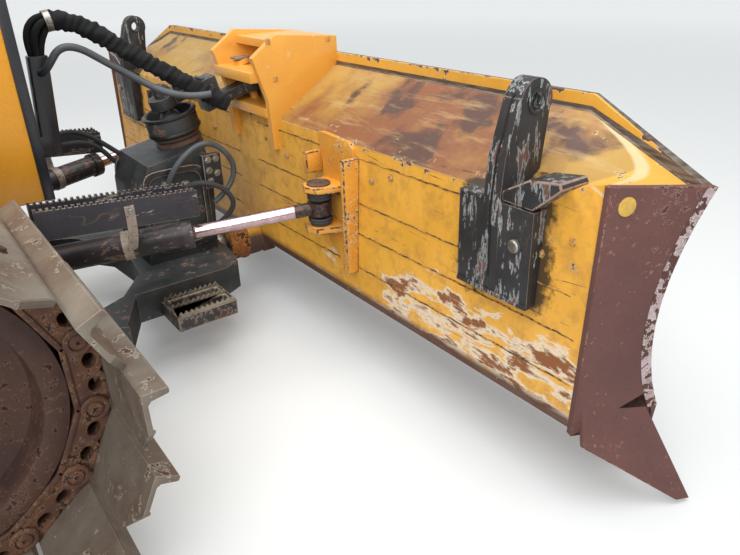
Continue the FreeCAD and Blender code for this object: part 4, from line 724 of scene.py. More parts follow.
def prism(corners: Array, low: float, high: float, axis: int = 1) -> Shell:
    """Outline in the two other axes, carried from low to high along an axis."""
    side, up, way = np.eye(3)[list({1: (0, 2, 1), 2: (0, 1, 2), 0: (1, 2, 0)}[axis])]
    return sweep(corners, np.stack([way * low, way * high]), side, up)


def block(low: Point, high: Point) -> Shell:
    """Box between two corners, to be bevelled by its piece."""
    (x0, y0, z0), (x1, y1, z1) = low, high
    return prism([(x0, z0), (x1, z0), (x1, z1), (x0, z1)], y0, y1)


def frame_of(way: Point) -> Array:
    """Matrix whose third column points along way, and whose others are square to it."""
    z = unit(way)
    x = unit(np.cross([0, 0, 1] if abs(z[2]) < 0.9 else [0, 1, 0], z))
    return np.stack([x, np.cross(z, x), z], 1)


def turned(profile: Sequence[tuple[float, float]], base: Point, way: Point, segments: int = 32) -> Shell:
    """Profile of (radius, height) spun about an axis: (r cos a, r sin a, h). A radius of nearly nothing
    closes an end.

    Args:
        profile: the points.
        base: where the axis starts.
        way: its direction.
        segments: steps round it.
    Returns:
        The skin.
    """
    r, h = np.asarray(profile, float).T
    ring = circle(segments)
    flat = np.maximum(r, 1e-5)[:, None, None] * ring
    points = np.concatenate([flat, np.broadcast_to(h[:, None, None], (len(h), segments, 1))],
                            -1).reshape(-1, 3)
    return Shell(points, grid_faces(len(h), segments)).moved(base, frame_of(way))


def hoop(profile: Sequence[tuple[float, float]], base: Point, way: Point, segments: int = 32) -> Shell:
    """Ring spun from a profile that closes on itself, as in turned()."""
    return turned([*profile, profile[0]], base, way, segments)


def tube(points: Array, radius: float, segments: int = 12) -> Shell:
    """Round bar through points: each ring lies square to the mean direction of its two runs."""
    points = np.asarray(points, float)
    way = unit(np.gradient(points, axis=0))
    side = unit(np.cross(way, [0.31, 0.17, 0.93]))
    return sweep(circle(segments) * radius, points, side, np.cross(way, side))


def rounded(points: Sequence[Point], radius: float) -> Array:
    """Path with its corners rounded, each by a parabola between its two trimmed ends."""
    p = np.asarray(points, float)
    out = [p[:1]]
    for a, b, c in zip(p, p[1:], p[2:]):
        first, last = (b + (end - b) * min(0.5, radius / np.linalg.norm(end - b)) for end in (a, c))
        out.append(parabola(first, b, last, 5))
    return np.vstack(out + [p[-1:]])


def comb(top: Array, low: Array, y0: float, y1: float) -> Shell:
    """Upright plate between an upper and a lower line of the same number of points (x, z), such as a row
    of teeth.

    The outline runs along the lower line and back along the upper one; its ends fold onto themselves face
    by face.
    """
    return prism(np.vstack([low, top[::-1]]), y0, y1)


def window_plate(outer: Array, inner: Array, y0: float, y1: float) -> Shell:
    """Plate with a hole: four rings of points, joined in turn on both faces and round both rims."""
    n = len(outer)
    rings = ((outer, y0), (outer, y1), (inner, y1), (inner, y0))
    points = np.vstack([np.column_stack([ring[:, 0], np.full(n, y), ring[:, 1]]) for ring, y in rings])
    return Shell(points, grid_faces(5, n) % (4 * n))


def bolts(places: Iterable[tuple[Point, Point]], radius: float = 0.014) -> Shell:
    """Hexagon bolt heads on washers, each at a point and along a direction."""
    profile = [(0, 0), (radius * 1.35, 0), (radius * 1.35, 0.0022), (radius * 1.02, 0.0024),
               (radius, radius * 0.55),
               (radius * 0.82, radius * 0.72), (0, radius * 0.72)]
    return joined(turned(profile, place, way, 6) for place, way in places)


def ring_of(centre: Point, way: Point, radius: float, count: int) -> list[tuple[Array, Point]]:
    """Places and directions of fasteners round a circle.

    Args:
        centre: middle of the circle.
        way: its axis, along which the heads point.
        radius: its radius.
        count: how many.
    Returns:
        One (place, way) for each.
    """
    return [(place, way) for place in np.asarray(centre) + radius * circle(count) @ frame_of(way)[:, :2].T]


def placed(name: str, data: bpy.types.ID, matrix: Array | None = None) -> bpy.types.Object:
    """Adds an object with this data to the scene, at a 4 by 4 matrix if given."""
    obj = bpy.data.objects.new(name, data)
    if matrix is not None:
        obj.matrix_world = Matrix(matrix.tolist())
    bpy.context.scene.collection.objects.link(obj)
    return obj


def mesh_of(name: str, shell: Shell) -> bpy.types.Mesh:
    """Mesh of a skin, with its doubles merged and every face turned outwards."""
    mesh = bpy.data.meshes.new(name)
    mesh.from_pydata(shell.points.tolist(), [], shell.faces.tolist())
    mesh.validate()
    work = bmesh.new()
    work.from_mesh(mesh)
    bmesh.ops.remove_doubles(work, verts=work.verts, dist=2e-5)
    bmesh.ops.dissolve_degenerate(work, edges=work.edges, dist=1e-6)
    bmesh.ops.recalc_face_normals(work, faces=work.faces)
    work.to_mesh(mesh)
    work.free()
    return mesh


def fetch(group: bpy.types.bpy_prop_collection, what: str) -> Array:
    """One vector of each item of a mesh's collection, as rows of three."""
    out = np.zeros(len(group) * 3)
    group.foreach_get(what, out)
    return out.reshape(-1, 3)


# The machine's rules for a piece, and its sub-assemblies, each a class that makes its pieces
class Machine:
    """Adds pieces to the scene and keeps the rules that every piece follows; body is the default for its
    pieces."""

    body = "chassis"

    def piece(self, name: str, shell: Shell, finish: Surface, slot: str = "black_paint",
              body: str | None = None,
              bevel_mm: float = 0.0, edge: Finish | None = None, replaces: str = "") -> bpy.types.Object:
        """Puts a skin into the scene.

        Args:
            name: the piece's name.
            shell: its points and faces.
            finish: its material.
            slot: the record's material slot; not used.
            body: the moving body that it rides on, or "" for a piece that bends between two.
            bevel_mm: width of its softened edges.
            edge: finish of the softened edges.
            replaces: the node that it stands for.
        Returns:
            The finished object.
        """
        obj = placed(name, mesh_of(name, shell))
        obj.data.materials.append(material_of(finish))
        self.soften(obj, bevel_mm, edge)
        body = self.body if body is None else body
        if body:
            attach(obj, body)
        if replaces:
            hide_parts(replaces)
        LOG.info("piece %s on %s: %d faces", name, body, len(shell.faces))
        return obj

    @staticmethod
    def soften(obj: bpy.types.Object, bevel_mm: float, edge: Finish | None) -> None:
        """Rounds an object's edges with modifiers, gives them their own finish, and shades small angles
        smoothly."""
        if bevel_mm:
            bevel = obj.modifiers.new("soft_edges", "BEVEL")
            bevel.width = bevel_mm / 1000
            bevel.segments = 2
            bevel.limit_method = "ANGLE"
            bevel.angle_limit = math.radians(38)
            bevel.use_clamp_overlap = True
            if edge is not None:
                obj.data.materials.append(material_of(edge))
                bevel.material = len(obj.data.materials) - 1
        obj.data.polygons.foreach_set("use_smooth", np.ones(len(obj.data.polygons), bool))
        split = obj.modifiers.new("sharp_corners", "EDGE_SPLIT")
        split.split_angle = math.radians(32)

    def dress(self, obj: bpy.types.Object, finish: Surface, edge: Finish | None, bevel_mm: float) -> None:
        """Gives a shared solid its finish, with welded triangles and softened edges by modifiers alone."""
        obj.data.materials.clear()
        obj.data.materials.append(material_of(finish))
        weld = obj.modifiers.new("joined", "WELD")
        weld.merge_threshold = 1e-5
        flat = obj.modifiers.new("flat_faces", "DECIMATE")
        flat.decimate_type = "DISSOLVE"
        flat.angle_limit = math.radians(0.6)
        self.soften(obj, bevel_mm, edge)


@dataclass
class Tracks(Machine):
    """Both chains: rails of two-holed links with pin bosses, and a rubbed shoe with one tall bar on every
    link.

    Attributes:
        idler_x: where the idler's axle is.
        pitch: distance of two pins.
        half: links round half a wheel.
        run: links along each straight run.
        middle: middle of the chain, to the side.
        seat: height of the shoe's plate over the pins.
        rail_in: where a rail starts, from the chain's middle.
        rail_wide: its width.
        shoe: width of a shoe.
        bar_high: height of its bar.
        plate: thickness of its plate.
    """

    idler_x: float = 0.888
    pitch: float = 0.2
    half: int = 7
    run: int = 15
    middle: float = 1.08
    seat: float = 0.04
    rail_in: float = 0.05
    rail_wide: float = 0.055
    shoe: float = 0.84
    bar_high: float = 0.05
    plate: float = 0.012

    def pins(self) -> Array:
        """Pin centres (x, z) round the loop: two half wheels of radius pitch / (2 sin(90 / half)) and two
        runs."""
        radius = self.pitch / (2 * math.sin(math.pi / (2 * self.half)))
        axle = self.bar_high + self.plate + self.seat + radius
        rear = self.idler_x - self.run * self.pitch
        wheel = radius * circle(2 * self.half)[:self.half + 1]
        steps = np.arange(1, self.run) * self.pitch
        front = np.column_stack([self.idler_x + wheel[:, 1], axle - wheel[:, 0]])
        back = np.column_stack([rear - wheel[:, 1], axle + wheel[:, 0]])
        top = np.column_stack([self.idler_x - steps, np.full(self.run - 1, axle + radius)])
        low = np.column_stack([rear + steps, np.full(self.run - 1, axle - radius)])
        return np.vstack([front, top, back, low])

    def seats(self) -> tuple[Array, Array]:
        """Turn and place of every link: X along the chain, Z outwards, origin between its two pins."""
        pins = self.pins()
        after = np.roll(pins, -1, axis=0)
        along, mid = unit(after - pins), (pins + after) / 2
        zero = np.zeros(len(pins))
        x = np.column_stack([along[:, 0], zero, along[:, 1]])
        z = np.column_stack([along[:, 1], zero, -along[:, 0]])
        return np.stack([x, np.cross(z, x), z], 2), np.column_stack([mid[:, 0], zero, mid[:, 1]])

    def link(self) -> Shell:
        """One link: on each rail two plates, each with a window, whose outer rim runs between the two
        pins."""
        ring = circle(24, 0.5)
        square = ring / np.abs(ring).max(1, keepdims=True)
        half = self.pitch / 2
        shell = Shell()
        for side in (-1, 1):
            y0, y1 = sorted((side * self.rail_in, side * (self.rail_in + self.rail_wide)))
            for end in (-1, 1):
                outer = square * [half / 2, 0.045] + [end * half / 2, -0.005]
                outer[:, 0] = np.where(np.abs(outer[:, 0]) > half - 1e-6,
                                       np.sign(outer[:, 0]) * (half - 0.002), outer[:, 0])
                shell += window_plate(outer, ring * [0.021, 0.017] + [end * 0.036, 0.012], y0 + 0.006,
                                      y1 - 0.006)
            tread = [(-half + 0.003, -0.05), (half - 0.003, -0.05), (half - 0.006, -0.036),
                     (-half + 0.006, -0.036)]
            shell += prism(tread, y0, y1)
        return shell

    def bosses(self) -> Shell:
        """Pin ends at a link's front pin: a round boss with a ring groove and a dimple, on both outer
        faces."""
        r = 0.036
        profile = [(r, -0.05), (r, 0.008), (r - 0.004, 0.012), (r - 0.012, 0.012), (r - 0.014, 0.007),
                   (r - 0.018, 0.012),
                   (0.006, 0.013), (0.004, 0.006), (0, 0.006)]
        reach, pin = self.rail_in + self.rail_wide - 0.004, self.pitch / 2
        ends = joined(turned(profile, (pin, side * reach, -0.004), (0, side, 0), 20) for side in (-1, 1))
        bush = [(0, -self.rail_in), (0.03, -self.rail_in), (0.03, self.rail_in), (0, self.rail_in)]
        return ends + turned(bush, (pin, 0, 0), LEFT, 14)

    def shoe_shell(self) -> Shell:
        """One shoe: its cross section (a plate with a curled front lip and one tall bar) carried along the
        machine's
        width. Towards the ends x moves by clip * (share of the plate ahead of the bar), so two corners are
        clipped."""
        long = self.pitch / 2 - 0.003
        top = self.seat + self.plate
        high = top + self.bar_high
        upper = np.array([(-long, top - 0.003), (-long + 0.004, top + 0.004), (-long + 0.016, top + 0.005),
                          (-long + 0.03, top),
                          (long - 0.03, top), (long - 0.021, top + 0.008), (long - 0.016, high - 0.003),
                          (long - 0.013, high),
                          (long - 0.004, high), (long - 0.0005, high - 0.004), (long, top)])
        lower = np.column_stack([upper[:, 0], np.full(len(upper), self.seat)])
        section = np.vstack([lower, upper[::-1]])
        w = self.shoe / 2
        y = np.array([-w, -w + 0.004, -w + 0.085, w - 0.085, w - 0.004, w])
        clip = np.array([0.46, 0.44, 0, 0, 0.44, 0.46]) * 2 * long
        share = np.clip((long - 0.03 - section[:, 0]) / (2 * long - 0.03), 0.0, 1.0)
        shell = sweep(section, y[:, None] * LEFT, AHEAD, UP)
        shell.points[:, 0] += (clip[:, None] * share).ravel()
        return shell

    def shoe_bolts(self) -> Shell:
        """Four bolt heads on a shoe's outer face, over the rails."""
        y = self.rail_in + self.rail_wide / 2
        return bolts([((x, s * y, self.seat + self.plate), UP) for x in (-0.035, 0.03) for s in (-1, 1)],
                     0.013)

    def build(self) -> None:
        """Makes both tracks: links and pins in one rust, bolts in another, shoes in rubbed steel."""
        turns, mids = self.seats()
        for side, word in SIDES:
            shift = mids + [0, side * self.middle, 0]
            for name, shell, finish, more in (
                    ("chain_links", self.link(), LINK_RUST, {"bevel_mm": 2.5, "replaces": f"track_{word}"}),
                    ("chain_pins", self.bosses(), LINK_RUST, {}),
                    ("track_shoes", self.shoe_shell(), SHOE_STEEL, {"bevel_mm": 3.0, "edge": SHOE_EDGE}),
                    ("shoe_bolts", self.shoe_bolts(), IDLER_RUST, {})):
                self.piece(f"{name}_{word}", shell.copies(turns, shift), finish, "track_steel", **more)


@dataclass
class Steps(Machine):
    """Serrated steps on the angle cylinders' barrels and beside the C-frame's nose.

    Attributes:
        rear: (x, z) of the barrel step's upper line at its rear end.
        front: the same at its front end.
        deep: height of the step.
        tooth: width of a tooth.
    """

    rear: tuple[float, float] = (-1.0, 0.81)
    front: tuple[float, float] = (-0.483, 0.767)
    deep: float = 0.104
    tooth: float = 0.009

    def line(self, x: Array | float) -> Array | float:
        """Height of the barrel step's upper line at x."""
        (x0, z0), (x1, z1) = self.rear, self.front
        return z0 + (z1 - z0) * (x - x0) / (x1 - x0)

    def toothed(self, y0: float, y1: float) -> Shell:
        """Long plate whose upper line is a row of square teeth, sloping down to the front."""
        (x0, _), (x1, _) = self.rear, self.front
        count = int((x1 - x0) / self.tooth) // 2 * 2
        x = np.repeat(np.linspace(x0, x1, count + 1), 2)[1:-1]
        notch = np.where(np.arange(len(x)) // 2 % 2 == 0, 0.0, -0.008)
        top = np.column_stack([x + BLADE_X, self.line(x) + notch])
        return comb(top, np.column_stack([x + BLADE_X, self.line(x) - self.deep]), y0, y1)

    def web(self, x: float) -> Shell:
        """Cross plate between the two long ones."""
        return block(at(x - 0.004, 0.521, self.line(x) - self.deep + 0.004),
                     at(x + 0.004, 0.593, self.line(x) - 0.02))

    def strap(self) -> Shell:
        """Ring round the barrel and the bent strap from it up to the step."""
        way = np.array([0.944, 0.321, 0.0656])
        spot = at(-1.03, 0.397, 0.563) + way * 0.33
        ring = hoop([(0.0475, -0.016), (0.0515, -0.016), (0.0515, 0.016), (0.0475, 0.016)], spot, way, 40)
        path = rounded([spot + [0, 0.05, 0], spot + [0, 0.085, 0.05], (spot[0], 0.6045, 0.7),
                        (spot[0], 0.6045, 0.757)], 0.03)
        return ring + sweep(bar(0.016, 0.002), path, AHEAD, (0, 0.9, -0.3))

    def nose_row(self, y: float) -> Shell:
        """One row of the nose step's teeth."""
        x = np.linspace(-0.606, -0.376, 23) + BLADE_X
        notch = np.where(np.arange(len(x)) % 2 == 0, -0.013, 0.0)
        return comb(np.column_stack([x, 0.297 + notch]), np.column_stack([x, np.full(len(x), 0.2795)]), y,
                    y + 0.01)

    def build(self) -> None:
        """Makes the two barrel steps and the two nose steps."""
        plates = self.toothed(0.512, 0.522) + self.toothed(0.592,
                                                           0.602) + joined(map(self.web, (-0.985, -0.75,
                                                            -0.515)))
        for side, word in SIDES:
            barrel = f"angle_barrel_{word}"
            self.piece(f"barrel_step_{word}", plates.on(side), STEP_BLACK, body=barrel, bevel_mm=1.2,
                       edge=STEP_TEETH,
                       replaces=f"angle_step_{word}")
            self.piece(f"step_strap_{word}", self.strap().on(side), STRAP_STEEL, body=barrel)
            head = bolts([(at(-0.7185, side * 0.6065, 0.74), (0, side, 0))], 0.009)
            self.piece(f"strap_bolt_{word}", head, PLATED, body=barrel)
        rows = joined(map(self.nose_row, (0.394, 0.474, 0.554)))
        self.piece("nose_step_teeth", both(rows), STEP_TEETH, body="c_frame", bevel_mm=1.0)


@dataclass(frozen=True)
class Route:
    """One hose.

    Attributes:
        name: the piece's name.
        points: control points of its smooth line, from the blade's back plane, the same as the tube's in
            the source.
        radius: outside radius in metres.
        finish: its material.
        node: the shared tube that it stands for, or nothing.
        bodies: the two bodies that it runs between, attached to neither, or the one that it rides on.
        folds: height of its cloth folds in metres, where it is a sleeved bundle.
    """

    name: str
    points: Sequence[Point]
    radius: float
    finish: Plain
    node: str = ""
    bodies: tuple[str, ...] = ("chassis", "c_frame")
    folds: float = 0.0


@dataclass
class Hoses(Machine):
    """Cloth-sleeved bundle with its bare strands and clamp, the smooth return hose, and the small hoses.

    Attributes:
        routes: the hoses.
        clamp_share: how far along the bundle the clamp sits and the sleeve starts.
        strands: bare hoses between the post and the clamp.
    """

    routes: Sequence[Route] = (
        Route("sleeved_bundle", ((-0.772, 0, 1.1783), (-0.772, 0, 1.29), (-0.62, -0.005, 1.29),
                                 (-0.42, -0.06, 1.13),
                                 (-0.13, -0.17, 0.935)), 0.033, Plain.SLEEVE, "hose_sleeve", folds=0.0024),
        Route("return_hose", ((-0.776, -0.0303, 1.12), (-0.776, -0.08, 1.12), (-0.69, -0.09, 1.235),
                              (-0.52, -0.1, 1.11),
                              (-0.34, -0.19, 0.985), (-0.225, -0.235, 1.0)), 0.0135, Plain.OLD_RUBBER,
                              "hose_smooth"),
        Route("far_hose_high", ((-0.785, 0.03, 0.875), (-0.775, 0.11, 0.865), (-0.64, 0.2, 0.85),
                                (-0.5, 0.21, 0.73),
                                (-0.43, 0.17, 0.655)), 0.0105, Plain.RUBBER),
        Route("far_hose_low", ((-0.788, 0.03, 0.845), (-0.77, 0.1, 0.825), (-0.6, 0.19, 0.8),
                               (-0.5, 0.21, 0.66),
                               (-0.435, 0.17, 0.61)), 0.0105, Plain.RUBBER),
        Route("tower_loop", ((-0.44, -0.181, 0.655), (-0.42, -0.215, 0.74), (-0.27, -0.225, 0.835),
                             (-0.15, -0.215, 0.72),
                             (-0.175, -0.2, 0.6), (-0.255, -0.19, 0.55)), 0.0115, Plain.OLD_RUBBER,
                             bodies=("c_frame",)),
        Route("tower_low_hose", ((-0.36, -0.181, 0.64), (-0.31, -0.225, 0.665), (-0.2, -0.225, 0.6),
                                 (-0.17, -0.21, 0.5),
                                 (-0.25, -0.155, 0.43)), 0.011, Plain.RUBBER, bodies=("c_frame",)),
    )
    clamp_share: float = 0.3
    strands: int = 5

    def line(self, route: Sequence[Point], steps: int) -> Array:
        """Points along the smooth order 3 spline whose control points are the route's.

        Args:
            route: control points from the blade's back plane.
            steps: points on each of its spans.
        Returns:
            M by 3 points.
        """
        curve = bpy.data.curves.new("route", "CURVE")
        curve.dimensions = "3D"
        spline = curve.splines.new("NURBS")
        spline.points.add(len(route) - 1)
        for point, spot in zip(spline.points, route):
            point.co = (*at(*spot), 1.0)
        spline.order_u = 3
        spline.use_endpoint_u = True
        spline.resolution_u = steps
        holder = bpy.data.objects.new("route", curve)
        mesh = bpy.data.meshes.new_from_object(holder)
        points = fetch(mesh.vertices, "co")
        bpy.data.objects.remove(holder)
        bpy.data.curves.remove(curve)
        bpy.data.meshes.remove(mesh)
        return points

    def cloth(self, path: Array, radius: float, folds: float) -> Shell:
        """Gathered cloth sleeve: radius + folds * (sin(150 s + 1.8 sin a + 2 sin 31 s)
        + 0.7 sin(263 s + 2 a) + 0.8 sin(4 a + 41 s)).

        Args:
            path: points along its middle.
            radius: mean radius.
            folds: height of the folds.
        Returns:
            The closed sleeve, drawn in at both ends.
        """
        segments = 32
        shell = tube(path, radius, segments)
        rings = shell.points.reshape(len(path), segments, 3)
        a = np.arange(segments)[None, :] * 2 * math.pi / segments
        s = np.concatenate([[0], np.cumsum(np.linalg.norm(np.diff(path, axis=0), axis=1))])[:, None]
        lift = np.sin(150 * s + 1.8 * np.sin(a) + 2 * np.sin(31 * s))
        lift = lift + 0.7 * np.sin(263 * s + 2 * a) + 0.8 * np.sin(4 * a + 41 * s)
        ends = np.clip(np.minimum(s, s[-1] - s) / 0.02, 0.0, 1.0)
        lift = (1 + folds / radius * lift) * (0.8 + 0.2 * ends)
        rings = path[:, None] + (rings - path[:, None]) * lift[..., None]
        return Shell(rings.reshape(-1, 3), shell.faces)

    def bundle(self, path: Array, radius: float) -> Shell:
        """Bare hoses from the post to the clamp: each keeps its own angle about the line and spreads
        between its ends.

        Strand k lies at the line + r (cos a_k side + sin a_k up), with r = radius * (0.5 + 0.34 sin(pi t)).
        """
        t = np.linspace(0, 1, len(path))[:, None]
        up = np.cross(unit(np.gradient(path, axis=0)), LEFT)
        reach = radius * (0.5 + 0.34 * np.sin(math.pi * t))
        angles = 2 * math.pi * np.arange(self.strands) / self.strands + 0.4
        return joined(tube(path + reach * (math.cos(a) * np.array(LEFT) + math.sin(a) * up),
                           radius * 0.36) for a in angles)

    def clamp(self, path: Array, index: int, radius: float) -> Shell:
        """Steel band round the bundle, with its screw housing."""
        profile = [(radius, -0.011), (radius + 0.004, -0.011), (radius + 0.004, 0.011), (radius, 0.011)]
        ring = hoop(profile, path[index], path[index + 1] - path[index - 1], 36)
        return ring + bolts([(path[index] - [0, radius + 0.004, 0], RIGHT)], 0.008)

    def hose(self, route: Route) -> None:
        path = self.line(route.points, 90 if route.folds else 14)
        index = int(len(path) * self.clamp_share)
        if route.folds:
            shell = self.cloth(path[index - 4:], route.radius, route.folds) + self.bundle(path[:index + 4],
                                                            route.radius)
        else:
            shell = tube(path, route.radius, 16)
        body = route.bodies[0] if len(route.bodies) == 1 else ""
        obj = self.piece(route.name, shell, route.finish, "hose_rubber", body, replaces=route.node)
        bent = [obj]
        if route.folds:
            bent.append(self.piece("bundle_clamp", self.clamp(path, index, route.radius), PLATED, body=""))
        if not body:
            for piece in bent:
                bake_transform(piece)

    def build(self) -> None:
        """Makes the hoses and the nuts at their ends on the tower."""
        for route in self.routes:
            self.hose(route)
        nuts = ((-0.43, 0.168, 0.655), (-0.435, 0.168, 0.61), (-0.44, -0.168, 0.655), (-0.36, -0.168, 0.64))
        heads = bolts([(at(*nut), LEFT if nut[1] > 0 else RIGHT) for nut in nuts], 0.019)
        self.piece("hose_fittings", heads, PLATED, body="c_frame")


@dataclass
class Tower(Machine):
    """Cup and tower of the C-frame: bellows, rolled lip, raised side borders, valve block and the link's
    ribs.

    Attributes:
        cup: middle of the cup.
        ball: middle of the lower ball, so that the swivel leans from it to the cup.
        eye: the pitch link's eye at the blade.
    """

    cup: Point = (-0.315, 0.0, 0.87)
    ball: Point = (-0.19, 0.0, 0.276)
    eye: Point = (0.06, 0.0, 0.976)
    body = "c_frame"

    def neck(self) -> None:
        """Bellows under the cup, and its rolled lips."""
        cup, way = at(*self.cup), unit(np.subtract(self.cup, self.ball))
        lows = -0.148 + 0.027 * np.arange(4)
        folds = [(r, low + up) for low in lows for r,
                 up in ((0.087, 0), (0.097, 0.008), (0.097, 0.015), (0.087, 0.023))]
        bellows = hoop([(0.083, -0.152), *folds, (0.083, -0.038)], cup, way, 40)
        self.piece("neck_bellows", bellows, NECK_RUST, "rusty_steel")
        lip = [(0.096, 0.03), (0.108, 0.026), (0.113, 0.032), (0.112, 0.04), (0.104, 0.043), (0.096, 0.04)]
        low_lip = [(0.1, -0.04), (0.11, -0.04), (0.112, -0.034), (0.11, -0.026), (0.1, -0.026)]
        self.piece("cup_lip", hoop(lip, cup, way, 48) + hoop(low_lip, cup, way, 48), GREASY_BLACK)

    def sides(self) -> None:
        """Raised border on each side plate, and the valve block with its fittings on the right."""
        ring = circle(32, 0.5)
        shape = np.sign(ring) * np.abs(ring) ** 0.35
        middle = np.array([BLADE_X - 0.405, 0.55])
        border = window_plate(middle + shape * [0.135, 0.175], middle + shape * [0.112, 0.15], 0.165, 0.179)
        self.piece("tower_borders", both(border), GREASY_BLACK, bevel_mm=2.5, edge=WORN_EDGE)
        valve = block(at(-0.285, -0.197, 0.615), at(-0.205, -0.165, 0.755))
        self.piece("valve_block", valve, CHARCOAL_DEEP, bevel_mm=3.0, edge=WORN_EDGE)
        spots = ((-0.262, 0.735), (-0.228, 0.735), (-0.262, 0.69), (-0.228, 0.675), (-0.262, 0.645))
        self.piece("valve_fittings", bolts([(at(x, -0.197, z), RIGHT) for x, z in spots], 0.012), PLATED)

    def build(self) -> None:
        """Makes the tower's pieces and the ribs on the pitch link."""
        self.neck()
        self.sides()
        along = unit(np.subtract(self.eye, self.cup))
        up = np.array([-along[2], 0, along[0]])
        feet = [at(*self.cup) + along * way + up * 0.104 for way in np.arange(0.07, 0.2, 0.026)]
        ribs = joined(sweep(band(0.013, 0.012), [foot - [0, 0.04, 0], foot + [0, 0.04, 0]], along,
                            up) for foot in feet)
        self.piece("link_ribs", ribs, LINK_GREY, body="pitch_link", bevel_mm=1.5)


@dataclass
class BladeTrim(Machine):
    """Bolts, weld beads, mast details, plugs, rubbed edges and pins on the blade.

    Attributes:
        half: half the blade's width at its back plane.
        flare: slope of the end plates outwards.
        lean: slope of the back forwards, from foot up.
        foot: height where the lean starts.
        eye: middle of the angle rod's eye, on the left.
        boot: how far over the eye's middle its boot ends.
    """

    half: float = 1.85
    flare: float = 0.36
    lean: float = 0.0494
    foot: float = 0.28
    eye: Point = (-0.065, 0.725, 0.63)
    boot: float = 0.0655
    body = "blade"

    def back(self) -> None:
        """Bolts and weld beads on the blade's back; a bead waves by 1.2 mm sin(61 y) + 1 mm sin(143 y)."""
        spots = ((0.936, 0.763), (1.042, 0.799), (1.784, 0.809), (1.688, 0.746), (0.35, 0.73))
        heads = bolts([(at((z - self.foot) * self.lean, -y, z), (-1, 0, 0.05)) for y, z in spots], 0.011)
        self.piece("back_bolts", both(heads), NICKED_BOLT, "yellow_paint")
        beads = Shell()
        for y0, y1, z in ((0.10, 1.40, 0.827), (0.09, 1.80, 0.662), (0.09, 1.83, 0.545),
                          (0.09, 1.84, 0.41)):
            y = np.linspace(y0, y1, 90)
            x = np.full(len(y), BLADE_X + (z - self.foot) * self.lean)
            beads += tube(np.column_stack([x, y, z + 0.0012 * np.sin(y * 61) + 0.001 * np.sin(y * 143)]),
                          0.0028, 6)
        self.piece("plate_seams", both(beads), SEAM, "yellow_paint")

    def masts(self) -> None:
        """Painted shade in the groove (a strip of black gasket rubber), eye rims, pin cap, gusset and foot
        welds of each mast bracket.
        """
        line = np.array([(-0.021, 0.6), (-0.0275, 0.85), (-0.0135, 0.985), (0.0305, 1.13),
                         (0.06, 1.168)]) + [BLADE_X, 0]
        # painted shade: a thin black gasket strip along each mast bracket stands for the shade inside its
        # groove
        self.piece("mast_groove_shade", both(comb(line + [0.006, 0], line, 1.5405, 1.5475)), Plain.GASKET)
        rim = [(0.0245, 0.0295), (0.034, 0.0295), (0.034, 0.033), (0.0245, 0.033)]
        rims = joined(hoop(rim, at(0.095, 1.544, 1.118), way, 36) for way in (LEFT, RIGHT))
        self.piece("mast_eye_rims", both(rims), MAST_BLACK)
        cap = turned([(0, 0), (0.019, 0), (0.019, 0.008), (0.015, 0.012), (0, 0.013)],
                     at(-0.0225, 1.635, 0.762), BACK, 24)
        self.piece("mast_pin_caps", both(cap), PLATED)
        outline = [(1.574, 0.872), (1.68, 0.87), (1.765, 0.945), (1.757, 0.963), (1.66, 0.949),
                   (1.574, 0.9)]
        gusset = prism(outline, BLADE_X - 0.018, BLADE_X + 0.09, axis=0)
        self.piece("mast_gussets", both(gusset), MAST_BLACK, bevel_mm=5.0, edge=WORN_EDGE)
        welds = block(at(-0.027, 1.42, 0.585), at(0, 1.69, 0.598)) + block(at(-0.027, 1.42, 0.862),
                                                            at(0.02, 1.51, 0.873))
        self.piece("mast_foot_welds", both(welds), MAST_BLACK, bevel_mm=4.0)

    def end_plates(self) -> None:
        """Plug and rubbed rim on each end plate's outer face."""
        normal, along = unit([-self.flare, 1, 0]), unit([1, self.flare, 0])
        spot = at(0.066, self.half + self.flare * 0.066, 0.925) + normal * 0.022
        plug = turned([(0, 0), (0.024, 0), (0.024, 0.002), (0.022, 0.003), (0, 0.003)], spot, normal)
        self.piece("end_plate_plugs", both(plug), PLUG_YELLOW, "yellow_paint")
        x, z = (parabola((0.307, 0.943), (0.128, 0.6), (0.257, 0.305), 24) - [0.03, 0]).T
        path = np.column_stack([BLADE_X + x, self.half + self.flare * x, z]) + normal * 0.0218
        self.piece("end_plate_rubs", both(sweep(band(0.032, 0.0012), path, along, normal)), RUBBED_PINK,
                   "rusty_steel")

    def edge(self) -> None:
        """Nuts and plow bolts of the cutting edge, and the rings on the ball drum."""
        spots, way = np.linspace(-1.72, 1.72, 12), np.array([0.956, 0, 0.29])
        self.piece("edge_nuts", bolts([(at(0.2655, y, 0.15), -way) for y in spots], 0.019), EDGE_RUST,
                   "rusty_steel")
        dome = [(0, 0.005), (0.012, 0.004), (0.018, 0.0), (0.018, -0.004), (0, -0.004)]
        self.piece("plow_bolts", joined(turned(dome, at(0.291, y, 0.15), way, 16) for y in spots),
                   RUST_PLATE, "rusty_steel")
        drum = [(0.087, 0.0), (0.097, 0.003), (0.099, 0.022), (0.09, 0.028), (0.09, 0.075), (0.096, 0.08),
                (0.096, 0.095),
                (0.087, 0.1)]
        self.piece("drum_rings", hoop(drum, at(-0.164, 0, 0.276), AHEAD, 48), DRUM_RUST, "rusty_steel")

    def bracket(self) -> None:
        """Keeper plate of the pitch link's pin, and welded tacks on the centre bracket's cheek."""
        keeper = block(at(-0.012, -0.03, 1.0825), at(0.062, 0.02, 1.094))
        self.piece("link_pin_keeper", keeper, STEP_TEETH, bevel_mm=4.0)
        corners = ((0.0, 1.165), (0.28, 1.15), (0.02, 1.02))
        tacks = joined(block(at(x, -0.2925, z), at(x + 0.022, -0.2895, z + 0.022)) for x, z in corners)
        self.piece("bracket_tacks", tacks, BRIGHT_EDGE, "yellow_paint", bevel_mm=2.0)

